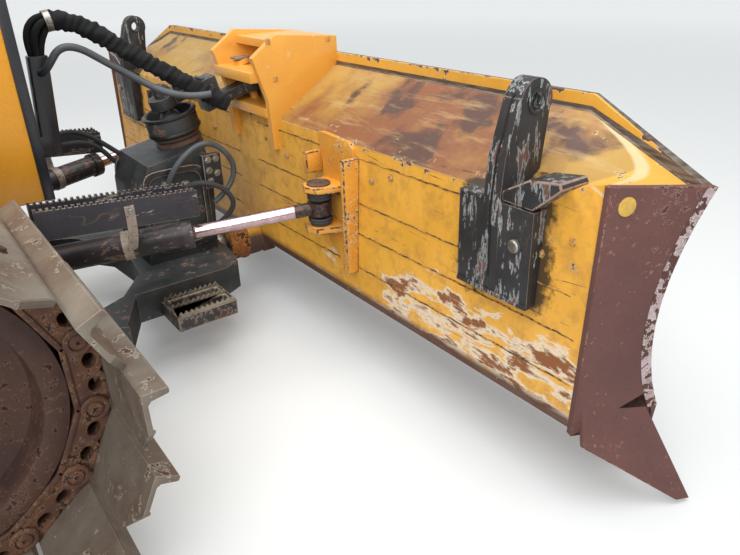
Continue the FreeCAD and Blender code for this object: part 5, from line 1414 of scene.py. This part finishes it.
    def clevises(self) -> None:
        """Plates beside the clevis ears, rubber boots on the eyes, and the pins' heads.

        The boots lie between the eye and the ears.
        """
        curve = parabola((0.612, 0.868), (0.652, 0.742), (0.655, 0.72), 14)
        tab = np.vstack([curve, [(0.838, 0.72), (0.838, 0.855), (0.812, 0.876), (0.64, 0.884),
                                 (0.618, 0.88)]])
        low = [(0.655, 0.54), (0.838, 0.54), (0.838, 0.4), (0.815, 0.385), (0.70, 0.47), (0.668, 0.5)]
        plates = prism(tab, BLADE_X + 0.012, BLADE_X + 0.032, axis=0) + prism(low, BLADE_X - 0.004,
                                                            BLADE_X + 0.016, axis=0)
        plates.points[:, 0] -= np.clip((0.8 - plates.points[:, 2]) * 0.02, -0.01, 0.01)
        self.piece("clevis_plates", both(plates), CLEVIS_YELLOW, "yellow_paint", bevel_mm=4.0,
                   edge=YELLOW_EDGE)
        boot = [(0.03, 0.036), (0.043, 0.036), (0.046, 0.04), (0.041, 0.044), (0.045, 0.049), (0.04, 0.055),
                (0.037, self.boot), (0.03, self.boot)]
        for word, way in (("top", 1), ("low", -1)):
            boots = self.piece(f"eye_boots_{word}", both(hoop(boot, at(*self.eye), (0, 0, way))),
                               Plain.RUBBER, "hose_rubber")
            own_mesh(boots)
        head = [(0, 0), (0.044, 0), (0.044, 0.006), (0.036, 0.009), (0.034, 0.006), (0.012, 0.006),
                (0.01, 0.01), (0, 0.01)]
        self.piece("clevis_pin_heads", both(turned(head, at(-0.065, 0.725, 0.72), UP)), NECK_RUST,
                   "rusty_steel")

    def build(self) -> None:
        """Makes the blade's pieces."""
        for make in (self.back, self.masts, self.end_plates, self.edge, self.bracket, self.clevises):
            make()


@dataclass
class Undercarriage(Machine):
    """Caps and bolts of rollers, idlers, sprockets and frames.

    Attributes:
        middle: middle of the track, to the side.
        plate: the roller frame's outer face from there.
        axle: height of the idler's and sprocket's axles.
        idler: the idler's place.
        sprocket: the sprocket's place.
    """

    middle: float = 1.08
    plate: float = 0.145
    axle: float = 0.5514
    idler: float = 0.888
    sprocket: float = -2.112

    def build(self) -> None:
        """Makes the undercarriage's pieces on both sides."""
        out = self.middle + self.plate
        rollers = [np.array([0.458 - 0.345 * k, out, 0.247]) for k in range(7)]
        cap = [(0, 0.018), (0.022, 0.018), (0.03, 0.012), (0.036, 0.0), (0, 0.0)]
        caps = joined(turned(cap, place, LEFT, 24) for place in rollers)
        hub = [(0, 0.03), (0.03, 0.03), (0.04, 0.022), (0.07, 0.018), (0.078, 0.0), (0, 0.0)]
        caps += turned(hub, (self.idler, out, self.axle), LEFT)
        self.piece("roller_caps", both(caps), IDLER_RUST, "rusty_steel")
        heads = bolts([(place + [dx, 0, 0], LEFT) for place in rollers for dx in (-0.055, 0.055)], 0.012)
        heads += bolts(ring_of((self.idler, out + 0.019, self.axle), LEFT, 0.055, 6), 0.009)
        heads += bolts([((x, out, z), LEFT) for x in (0.45, 0.62) for z in (0.44, 0.6)], 0.014)
        self.piece("frame_bolts", both(heads), NICKED_BOLT, "rusty_steel")
        teeth = bolts(ring_of((self.sprocket, self.middle + 0.03, self.axle), LEFT, 0.27, 20), 0.013)
        teeth += bolts(ring_of((self.sprocket, self.middle + 0.15, self.axle), LEFT, 0.155, 10), 0.011)
        self.piece("sprocket_bolts", both(teeth), IDLER_RUST, "rusty_steel")
        cover = [(0, 0.012), (0.07, 0.012), (0.085, 0.004), (0.09, 0.0), (0, 0.0)]
        covers = turned(cover, (self.sprocket, self.middle + 0.195, self.axle), LEFT)
        self.piece("final_covers", both(covers), BODY_YELLOW, "yellow_paint")


@dataclass
class Hood(Machine):
    """Panels, louvres, handles, grille frame, rain flap and cleaner cap of the hood.

    Attributes:
        taper: where the hood's sides start to run outwards.
        cab: where they meet the cab.
        half: half the hood's width ahead of the taper.
        wide: half its width at the cab.
        stack: the exhaust stack's axis, ahead and to the side.
        cleaner: the air cleaner's axis.
    """

    taper: float = 1.1
    cab: float = -0.26
    half: float = 0.33
    wide: float = 0.46
    stack: tuple[float, float] = (0.47, -0.19)
    cleaner: tuple[float, float] = (0.33, 0.2)

    def skin(self, x: float, z: float, out: float = 0.0) -> Array:
        """Point on the hood's left side, straight ahead of the taper and slanted behind it."""
        y = self.half + (self.wide - self.half) * max(0.0, self.taper - x) / (self.taper - self.cab)
        return np.array([x, y + out, z])

    def sides(self) -> None:
        """Louvres, panel seams and door handles."""
        normal = unit([self.wide - self.half, self.taper - self.cab, 0])
        slat = [(-0.001, 0), (0.013, -0.012), (0.014, -0.009), (0.001, 0.016), (-0.001, 0.016)]
        rows = 1.08 + 0.042 * np.arange(9)
        louvres = joined(sweep(slat, [self.skin(0.12, z), self.skin(0.62, z)], normal, UP) for z in rows)
        self.piece("hood_louvres", both(louvres), BODY_YELLOW, "yellow_paint")
        seams = Shell()
        for x0, x1, z0, z1 in ((-0.2, 0.68, 0.85, 1.56), (0.72, 1.06, 0.85, 1.53)):
            loop = [self.skin(*corner) for corner in ((x0, z0), (x1, z0), (x1, z1), (x0, z1), (x0, z0))]
            seams += joined(tube(np.linspace(start, end, 3), 0.0022, 6) for start,
                            end in zip(loop, loop[1:]))
        self.piece("hood_seams", both(seams), Plain.GASKET)
        bends = ((1.14, -0.002), (1.14, 0.03), (1.26, 0.03), (1.26, -0.002))
        handles = joined(tube(rounded([self.skin(x, z, out) for z, out in bends], 0.02), 0.006,
                              8) for x in (0.66, 0.78))
        self.piece("hood_handles", both(handles), GLOSS_BLACK)

    def grille(self) -> None:
        """Frame and upright bars of the grille."""
        post = block((1.462, 0.296, 0.745), (1.496, 0.337, 1.58))
        frame = post + block((1.462, -0.297, 1.53), (1.496, 0.297, 1.58)) + post.on(-1)
        self.piece("grille_frame", frame, GLOSS_BLACK, bevel_mm=4.0)
        bars = joined(block((1.469, y - 0.002, 0.8), (1.475, y + 0.002, 1.5)) for y in np.linspace(-0.22,
                                                            0.22, 23))
        self.piece("grille_bars", bars, CHARCOAL_DEEP)

    def build(self) -> None:
        """Makes the hood's pieces, the stack's rain flap and shield rings, and the cleaner's cap."""
        self.sides()
        self.grille()
        flap = [(0, 0.004), (0.05, 0.004), (0.058, 0.0), (0.05, -0.003), (0, -0.003)]
        stack = turned(flap, (0.5, -0.19, 2.548), (-0.55, 0, 0.83), 28) + block((0.405, -0.2, 2.5),
                                                            (0.425, -0.18, 2.53))
        stack += hoop([(0.044, -0.06), (0.056, -0.06), (0.056, 0.0), (0.053, 0.003), (0.044, 0.0)],
                      (*self.stack, 2.522), UP)
        ring = [(0.0785, 0), (0.081, 0.003), (0.081, 0.01), (0.0785, 0.013)]
        stack += joined(hoop(ring, (*self.stack, 1.92 + 0.043 * k), UP) for k in range(9))
        self.piece("stack_trim", stack, STACK_STEEL)
        dome = [(0, 0.06), (0.04, 0.056), (0.08, 0.042), (0.106, 0.018), (0.114, 0.0), (0.111, -0.006),
                (0, -0.006)]
        clip = [(0.1105, 0.0), (0.116, 0.003), (0.116, 0.018), (0.1105, 0.021)]
        cap = turned(dome, (*self.cleaner, 2.08), UP, 36) + hoop(clip, (*self.cleaner, 1.96), UP, 36)
        self.piece("cleaner_cap", cap, Plain.PLASTIC)


@dataclass
class CabTrim(Machine):
    """Gaskets, rails, mirrors, wipers, lamp lenses, roof details, deck grips and tank fittings.

    Attributes:
        half: half the cab's width.
        beacon: middle of the beacon on the roof.
        tread: distance of the deck's grip studs.
        cap: middle of the tank's filler, at its foot.
    """

    half: float = 0.7
    beacon: tuple[float, float] = (-1.3, 0.0)
    tread: float = 0.06
    cap: tuple[float, float] = (-1.99, -0.35)

    def frame_on(self, low: tuple[float, float], high: tuple[float, float], y: float,
                 wide: float = 0.022) -> Shell:
        """Rounded gasket round a side window: low and high are (x, z) corners."""
        low, high = np.asarray(low), np.asarray(high)
        middle, half, shape = (low + high) / 2, (high - low) / 2, squircle(32, 10)
        return window_plate(middle + shape * (half + 0.012), middle + shape * (half - wide), y - 0.006,
                            y + 0.004)

    def slanted(self, low: tuple[float, float], high: tuple[float, float]) -> Shell:
        """Four strips round a front or rear window: low and high are (x, z) at its lower and upper edge."""
        (x0, z0), (x1, z1) = low, high
        up = unit([x1 - x0, 0, z1 - z0])
        out = np.cross(LEFT, up) * (1 if x0 > -1 else -1)
        foot, head = (np.array([x, 0, z]) - out * 0.004 for x, z in (low, high))
        shell = joined(sweep(band(0.035, 0.01), [foot + [0, y, 0], head + [0, y, 0]], LEFT,
                             out) for y in (-0.595, 0.56))
        for spot, drop in ((foot, 0.012), (head, 0.02)):
            start = spot - up * drop - [0, 0.595, 0]
            shell += sweep(band(0.01, 0.032), [start, start + [0, 1.19, 0]], out, up)
        return shell

    def gaskets(self) -> None:
        """Gaskets of the fixed glass, and of each door its glass, seal, pull and lock."""
        side = self.frame_on((-1.53, 1.95), (-1.18, 2.85), self.half)
        self.piece("side_gaskets", both(side), Plain.GASKET, bevel_mm=1.5)
        ends = self.slanted((-0.2661, 1.85), (-0.3601, 2.85)) + self.slanted((-1.6552, 1.98),
                                                            (-1.6062, 2.85))
        self.piece("end_gaskets", ends, Plain.GASKET, bevel_mm=1.5)
        door = self.frame_on((-1.025, 1.8), (-0.465, 2.775), self.half)
        seal = self.frame_on((-1.1, 1.24), (-0.39, 2.85), self.half - 0.002, 0.0)
        door += tube(rounded([(-0.43, y, z) for y,
                              z in ((0.702, 1.86), (0.735, 1.86), (0.735, 2.3), (0.702, 2.3))], 0.03),
                     0.009, 10)
        door += turned([(0, 0.012), (0.014, 0.012), (0.018, 0.006), (0.018, 0), (0, 0)],
                       (-0.45, self.half, 1.61), LEFT, 20)
        for way, word in SIDES:
            self.piece(f"door_trim_{word}", door.on(way), Plain.GASKET, body=f"door_{word}")
            self.piece(f"door_seal_{word}", seal.on(way), Plain.GASKET)

    def rails(self) -> None:
        """Grab rails beside the doors and along the deck."""
        rails = Shell()
        for points, corner, radius in (
                ([(-0.3, 0.702, 1.3), (-0.3, 0.765, 1.32), (-0.33, 0.765, 2.35), (-0.36, 0.702, 2.38)],
                 0.05, 0.0135),
                ([(-1.58, 0.702, 1.3), (-1.58, 0.765, 1.32), (-1.58, 0.765, 1.85), (-1.58, 0.702, 1.87)],
                 0.05, 0.0135),
                ([(-1.75, 1.27, 1.18), (-1.75, 1.27, 1.66), (-2.4, 1.27, 1.66), (-2.4, 1.27, 1.18)], 0.1,
                 0.016),
                ([(-0.15, 1.27, 1.18), (-0.15, 1.27, 1.5), (0.24, 1.27, 1.5), (0.24, 1.27, 1.18)], 0.08,
                 0.016)):
            rails += tube(rounded(points, corner), radius)
        self.piece("grab_rails", both(rails), GLOSS_BLACK)

    def front(self) -> None:
        """Mirrors on their arms and the wiper with its motor."""
        arm = tube(rounded([(-0.3, 0.69, 2.6), (-0.2, 0.8, 2.6), (-0.14, 0.93, 2.58)], 0.05), 0.009, 10)
        shell = block((-0.165, 0.86, 2.36), (-0.12, 1.03, 2.62))
        self.piece("mirrors", both(arm + shell), Plain.PLASTIC, "dark_plastic", bevel_mm=10.0)
        glass = block((-0.1675, 0.875, 2.375), (-0.1645, 1.015, 2.605))
        self.piece("mirror_glass", both(glass), MIRROR, "chrome_rod", bevel_mm=1.0)
        wiper = tube([(-0.262, -0.2, 1.83), (-0.288, -0.17, 2.1), (-0.322, -0.14, 2.45)], 0.006, 8)
        wiper += sweep(bar(0.3, 0.02), [(-0.272, -0.2, 1.98), (-0.33, -0.1, 2.55)], (0, 0.03, 0),
                       (-0.25, 0, -0.02))
        motor = [(0, 0.03), (0.02, 0.03), (0.026, 0.02), (0.026, 0), (0, 0)]
        self.piece("wiper", wiper + turned(motor, (-0.258, -0.2, 1.82), (1, 0, 0.05), 20), Plain.PLASTIC,
                   "dark_plastic")

    def roof(self) -> None:
        """Lenses and bezels of the roof lamps, the beacon with its base, and the roof's ribs."""
        lens = [(0, 0.012), (0.025, 0.0105), (0.045, 0.006), (0.052, 0.001), (0.052, -0.004), (0, -0.004)]
        bezel = [(0.05, 0), (0.061, 0), (0.0625, 0.008), (0.058, 0.014), (0.051, 0.01)]
        ends = (((-0.3, 0.5, 3.145), AHEAD), ((-1.64, 0.5, 3.145), BACK))
        self.piece("lamp_lenses", both(joined(turned(lens, spot, way) for spot, way in ends)), Plain.LENS,
                   "lamp_glass")
        self.piece("lamp_bezels", both(joined(hoop(bezel, spot, way) for spot, way in ends)), GLOSS_BLACK)
        beacon = [(0, 0.12), (0.03, 0.117), (0.046, 0.1), (0.05, 0.03), (0.05, 0.0), (0, 0)]
        self.piece("beacon", turned(beacon, (*self.beacon, 3.075), UP), Plain.AMBER, "lamp_glass")
        rows = (-0.45, -0.27, -0.09, 0.09, 0.27, 0.45)
        ribs = joined(block((-1.15, y - 0.02, 3.066), (-0.42, y + 0.02, 3.078)) for y in rows)
        self.piece("roof_ribs", ribs, BODY_YELLOW, "yellow_paint", bevel_mm=5.0)
        base = [(0, 0.03), (0.058, 0.03), (0.062, 0.024), (0.062, -0.008), (0, -0.008)]
        self.piece("beacon_base", turned(base, (*self.beacon, 3.07), UP), Plain.PLASTIC, "dark_plastic")

    def deck(self) -> None:
        """Grip studs on the deck: two grids, with each stud turned 0.7 radians one way or the other in
        turn."""
        spots = []
        for x0, x1, y0 in ((-0.2, 0.28, 0.56), (-2.44, -0.36, 0.8)):
            grid = np.meshgrid(np.arange(x0, x1, self.tread), np.arange(y0, 1.29, self.tread), [1.181],
                               indexing="xy")
            spots.append(np.column_stack([axis.ravel() for axis in grid]))
        places = np.vstack(spots)
        turn = np.where(np.arange(len(places)) % 2, 0.7, -0.7)
        turns = np.tile(np.eye(3), (len(turn), 1, 1))
        turns[:, 0, 0] = turns[:, 1, 1] = np.cos(turn)
        turns[:, 1, 0] = np.sin(turn)
        turns[:, 0, 1] = -np.sin(turn)
        stud = prism([(-0.016, -0.003), (0.016, -0.003), (0.010, 0.003), (-0.010, 0.003)], -0.004, 0.004)
        self.piece("deck_treads", both(stud.copies(turns, places)), WORN_EDGE)

    def tank(self) -> None:
        """Ribbed filler cap, straps and tail lamps of the fuel tank."""
        cap = [(0, 0.05), (0.05, 0.05), (0.062, 0.042), (0.066, 0.03), (0.066, 0.0), (0, 0.0)]
        shell = turned(cap, (*self.cap, 1.9), UP, 36)
        ridge = [(-0.004, -0.004), (0.004, -0.004), (0.003, 0.004), (-0.003, 0.004)]
        for way in np.pad(circle(14), ((0, 0), (0, 1))):
            foot = np.array([*self.cap, 1.905]) + way * 0.0655
            shell += sweep(ridge, [foot, foot + [0, 0, 0.028]], np.cross(way, UP), way)
        self.piece("tank_cap", shell, GLOSS_BLACK)
        line = np.array([(-2.492, 1.19), (-2.492, 1.602), (-2.342, 1.822), (-1.861, 1.902),
                         (-1.689, 1.861)])
        straps = joined(comb(line - [0, 0.008], line, y - 0.03, y + 0.03) for y in (-0.42, 0.42))
        self.piece("tank_straps", straps, GLOSS_BLACK, bevel_mm=1.0)
        tail = block((-2.502, 0.45, 1.3), (-2.488, 0.55, 1.36))
        self.piece("tail_lamps", both(tail), Plain.AMBER, "lamp_glass", bevel_mm=4.0)

    def controls(self) -> None:
        """Knob of each lever and the arm rests."""
        knob = [(0, 0.012), (0.018, 0.01), (0.028, 0.0), (0.028, -0.03), (0.02, -0.055), (0.016, -0.06),
                (0, -0.06)]
        grips = turned(knob, (-0.72, 0.345, 1.94), UP, 24) + block((-1.14, 0.285, 1.742),
                                                            (-0.8, 0.405, 1.775))
        self.piece("lever_grips", both(grips), Plain.VINYL, "dark_plastic", bevel_mm=6.0)

    def build(self) -> None:
        """Makes the cab's, deck's and tank's pieces."""
        for make in (self.gaskets, self.rails, self.front, self.roof, self.deck, self.tank, self.controls):
            make()


@dataclass(frozen=True)
class Channels:
    """Sewn channels of one side of a pad, and the seam round its edge.

    Attributes:
        axis: the axis (0 to 2) that the side faces.
        across: axis along which the cross channels are spaced.
        lines: their places.
        half: how far to either side they reach, up to the two long channels.
        seam: the axis that the seam lies square to, and its place there.
        deep: depth in metres.
    """

    axis: int
    across: int
    lines: Sequence[float]
    half: float
    seam: tuple[int, float]
    deep: float = 0.007


@dataclass
class Seat(Machine):
    """Driver's seat: a cushion and a backrest swollen from smaller forms by a cloth simulation, then sewn.

    Attributes:
        voxel: edge of the even mesh that the simulation works on.
        pressure: what swells it.
        frames: how long.
        reach: the furthest that any point may move.
    """

    voxel: float = 0.0075
    pressure: float = 4.0
    frames: int = 20
    reach: float = 0.016

    @staticmethod
    def baked(obj: bpy.types.Object) -> bpy.types.Mesh:
        """The object's mesh with its modifiers worked in."""
        return bpy.data.meshes.new_from_object(obj.evaluated_get(bpy.context.evaluated_depsgraph_get()))

    def even(self, name: str, shell: Shell) -> bpy.types.Object:
        """An object of the same form whose faces are all about one voxel wide."""
        start = placed(name + "_start", mesh_of(name + "_start", shell))
        remesh = start.modifiers.new("even", "REMESH")
        remesh.mode = "VOXEL"
        remesh.voxel_size = self.voxel
        obj = placed(name, self.baked(start))
        bpy.data.objects.remove(start)
        return obj

    def swell(self, obj: bpy.types.Object) -> None:
        """Blows the pad up by air pressure, with every point's way capped at reach."""
        before = fetch(obj.data.vertices, "co")
        cloth = obj.modifiers.new("swelling", "CLOTH")
        cloth.settings.use_pressure = True
        cloth.settings.uniform_pressure_force = self.pressure
        cloth.settings.effector_weights.gravity = 0.0
        cloth.point_cache.frame_start = 1
        cloth.point_cache.frame_end = self.frames
        scene = bpy.context.scene
        for frame in range(1, self.frames + 1):
            scene.frame_set(frame)
        swollen = self.baked(obj)
        way = fetch(swollen.vertices, "co") - before
        obj.modifiers.clear()
        scene.frame_set(1)
        bpy.data.meshes.remove(swollen)
        far = np.linalg.norm(way, axis=1, keepdims=True)
        way *= np.minimum(1.0, self.reach / np.maximum(far, 1e-9))
        obj.data.vertices.foreach_set("co", (before + way).ravel())

    def sew(self, obj: bpy.types.Object, rows: Channels) -> None:
        """Subdivides the pad once and presses its channels in.

        Each point moves inwards by the sum of deep * exp(-(d / 6 mm)^2) over the channels at distance d,
        on the side
        that they are sewn on, and by 5 mm * exp(-(d / 5 mm)^2) at the seam round its edge.
        """
        smooth = obj.modifiers.new("smooth", "SUBSURF")
        smooth.levels = smooth.render_levels = 1
        mesh = self.baked(obj)
        obj.modifiers.clear()
        old, obj.data = obj.data, mesh
        bpy.data.meshes.remove(old)
        points, normals = fetch(mesh.vertices, "co"), fetch(mesh.vertex_normals, "vector")
        facing = rows.deep * np.clip((normals[:, rows.axis] - 0.3) / 0.4, 0, 1)
        inside = np.clip((rows.half - np.abs(points[:, 1])) / 0.01, 0, 1)
        press = sum(facing * np.exp(-((points[:, 1] - side * rows.half) / 0.006) ** 2) for side in (-1, 1))
        across = points[:, rows.across]
        press += sum(facing * inside * np.exp(-((across - line) / 0.006) ** 2) for line in rows.lines)
        axis, place = rows.seam
        edge = 1 - np.clip((np.abs(normals[:, axis]) - 0.5) / 0.3, 0, 1)
        press += 0.005 * edge * np.exp(-((points[:, axis] - place) / 0.005) ** 2)
        mesh.vertices.foreach_set("co", (points - normals * press[:, None]).ravel())
        mesh.polygons.foreach_set("use_smooth", np.ones(len(mesh.polygons), bool))

    def pad(self, name: str, shell: Shell, rows: Channels) -> None:
        obj = self.even(name, shell)
        self.swell(obj)
        self.sew(obj, rows)
        obj.data.materials.append(material_of(Plain.VINYL))
        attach(obj, "chassis")
        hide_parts("seat")
        LOG.info("pad %s: %d faces", name, len(obj.data.polygons))

    def build(self) -> None:
        """Makes the cushion and the backrest, which leans back by 0.1 over 0.62 of height."""
        shape = squircle(48, 8)
        cushion = prism(shape * 0.222 + [-0.96, 0], 1.517, 1.602, axis=2)
        self.pad("seat_cushion", cushion, Channels(2, 0, (-1.09, -1.01, -0.93, -0.85, -0.77), 0.14,
                                                   (2, 1.565)))
        u = shape * [0.034, 0.292]
        back = np.column_stack([-1.19 - 0.1 / 0.62 * u[:, 1] + u[:, 0], 1.93 + u[:, 1]])
        self.pad("seat_backrest", prism(back, -0.212, 0.212),
                 Channels(0, 2, (1.76, 1.85, 1.94, 2.03), 0.135, (1, 0.18)))


class Solids(Machine):
    """Finishes of the shared solids that keep their own shape."""

    TABLE: tuple[tuple[Surface, Finish | None, dict[str, float]], ...] = (
        (CHARCOAL_DEEP, WORN_EDGE, {"main_frame": 5}),
        (BODY_YELLOW, YELLOW_EDGE, {"final_drives": 8}),
        (BODY_YELLOW, BRIGHT_EDGE, {"hood": 6, "fuel_tank": 12, "cab": 8, "door_left": 5, "door_right": 5,
                                    "roof": 12}),
        (FRAME_YELLOW, YELLOW_EDGE, {"roller_frames": 4}),
        (IDLER_RUST, None, {"rollers": 4, "idlers": 3}),
        (IDLER_RUST, WORN_EDGE, {"sprockets": 5}),
        (GLOSS_BLACK, None, {"grille": 4, "hose_post": 5, "air_cleaner": 8, "lamps": 4}),
        (ENGINE_GREY, None, {"engine": 8}),
        (CHARCOAL, WORN_EDGE, {"lift_uprights": 5, "lift_lugs": 4, "hitch": 5, "c_frame": 7, "tower": 9,
                               "cup_pin": 2,
                               "pitch_link": 6}),
        (DECK_BLACK, WORN_EDGE, {"deck": 3}),
        (STACK_STEEL, None, {"exhaust_stack": 3}),
        (Plain.GLASS, None, {"cab_glass": 0, "door_glass_left": 0, "door_glass_right": 0}),
        (Plain.PLASTIC, None, {"seat_base": 6, "consoles": 8}),
        (NOSE_STEP, STEP_TEETH, {"nose_steps": 7}),
        (PLATED, None, {"lower_ball": 0}),
        (BladeEnamel(), YELLOW_EDGE, {"blade": 5}),
        (RUST_PLATE, EDGE_RUST, {"end_plates": 4}),
        (EDGE_RUST, None, {"cutting_edge": 3}),
        (MAST_BLACK, WORN_EDGE, {"mast_brackets": 6}),
        (BRIGHT_ORANGE, BRIGHT_EDGE, {"centre_bracket": 3}),
        (CLEVIS_YELLOW, YELLOW_EDGE, {"angle_clevises": 5, "tilt_bracket": 4}),
        (BARREL, None, {"tilt_barrel": 2, "lift_barrel_left": 3, "lift_barrel_right": 3}),
        (BARREL, WORN_EDGE, {"angle_barrel_left": 3, "angle_barrel_right": 3}),
        (CHARCOAL, None, {"angle_pin_left": 0, "angle_pin_right": 0}),
        (HardChrome("tilt_chrome", (BLADE_X - 0.315, 0.14, 0.96), 0.05), None, {"tilt_rod": 1}),
    )

    def build(self, nodes: dict[str, bpy.types.Object]) -> None:
        """Dresses every shared solid in the table, and the rods on both sides, with edges of so many
        millimetres.

        Args:
            nodes: the shared solids by name.
        """
        rows = list(self.TABLE)
        for side, word in SIDES:
            lift = HardChrome(f"lift_chrome_{word}", (BLADE_X - 1.4, side * 0.545, 0.54), 0.07)
            angle = HardChrome(f"angle_chrome_{word}", (BLADE_X - 0.065, side * 0.725, 0.63), 0.105)
            rows += [(lift, None, {f"lift_rod_{word}": 2}), (angle, None, {f"angle_rod_{word}": 3})]
        for finish, edge, widths in rows:
            for name, width in widths.items():
                if name in nodes:
                    self.dress(nodes[name], finish, edge, width)
                    LOG.info("solid %s", name)


@dataclass
class Studio:
    """Plain pale floor, soft light and the photograph's camera.

    Attributes:
        lens: focal length in millimetres on a 36 mm sensor.
        eye: the camera's place.
        forward: its measured direction.
        right: its measured right-hand direction.
        reach: half the floor's width.
    """

    lens: float = 32.06
    eye: Point = (BLADE_X - 1.282, -2.714, 1.475)
    forward: Point = (0.5256, 0.7274, -0.4418)
    right: Point = (0.802, -0.596, -0.028)
    reach: float = 40.0

    @staticmethod
    def pose(turn: Array, place: Point) -> Array:
        """The 4 by 4 matrix of a 3 by 3 turn and a place."""
        matrix = np.eye(4)
        matrix[:3, :3], matrix[:3, 3] = turn, place
        return matrix

    def camera(self) -> None:
        """Sets the camera from its measured directions, with right made square to forward."""
        forward = unit(self.forward)
        right = unit(self.right - forward * (np.asarray(self.right) @ forward))
        data = bpy.data.cameras.new("photo_camera")
        data.lens, data.sensor_width, data.clip_end = self.lens, 36.0, 200.0
        turn = np.stack([right, np.cross(right, forward), -forward], 1)
        bpy.context.scene.camera = placed("photo_camera", data, self.pose(turn, self.eye))

    def floor(self) -> None:
        """Wide pale floor just under height zero; its far part glows for the camera alone, so no horizon
        shows."""
        mesh = bpy.data.meshes.new("floor")
        corners = ((-1, -1), (1, -1), (1, 1), (-1, 1))
        mesh.from_pydata([(x * self.reach, y * self.reach, -0.001) for x, y in corners], [], [(0, 1, 2, 3)])
        # Painted screed: matt and pale, with the camera's glow that stands for the hall's light far away
        material = bpy.data.materials.new("studio_floor")
        net = Net(material)
        away = net.add("VectorMath", {0: net.place()}, operation="LENGTH").outputs["Value"]
        glow = net.math("MULTIPLY", net.add("LightPath").outputs["Is Camera Ray"],
                        net.ramp(away, 6.0, 17.0, 0.2, 0.47))
        net.surface({"Base Color": "d3d5d4", "Roughness": 0.75, "Emission Color": "f4f6f7",
                     "Emission Strength": glow})
        mesh.materials.append(material)
        placed("floor", mesh)

    def light(self) -> None:
        """A pale surround that the camera and reflections see, a weaker ambient light, and two wide soft
        lamps."""
        world = bpy.data.worlds.new("studio")
        bpy.context.scene.world = world
        net = Net(world)
        path = net.add("LightPath").outputs
        seen = net.math("MAXIMUM", path["Is Camera Ray"], path["Is Glossy Ray"])
        seen = net.math("MAXIMUM", seen, path["Is Transmission Ray"])
        back = net.add("Background", {"Color": "eceeef", "Strength": net.ramp(seen, low=0.6, high=0.95)})
        net.add("OutputWorld", {"Surface": back.outputs[0]})
        for name, place, size, power, aim in (("overhead", (0.5, -1.5, 7.0), 7.0, 520.0, (1.0, 0.0, 0.5)),
                                              ("window", (-3.5, -6.5, 4.5), 4.5, 330.0, (1.8, 0.0, 0.6))):
            data = bpy.data.lights.new(name, "AREA")
            data.size, data.energy = size, power
            placed(name, data, self.pose(frame_of(np.subtract(place, aim)), place))

    def build(self) -> None:
        """Camera, floor and light."""
        self.camera()
        self.floor()
        self.light()
        bpy.context.scene.view_settings.view_transform = "Standard"


def main() -> None:
    """Builds the classes in order."""
    logging.basicConfig(level=logging.INFO, format="%(name)s: %(message)s")
    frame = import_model()
    Studio().build()
    Solids().build(frame["nodes"])
    for part in (Tracks, Undercarriage, Tower, Steps, Hoses, BladeTrim, Hood, CabTrim, Seat):
        part().build()


if __name__ == "__main__":
    main()
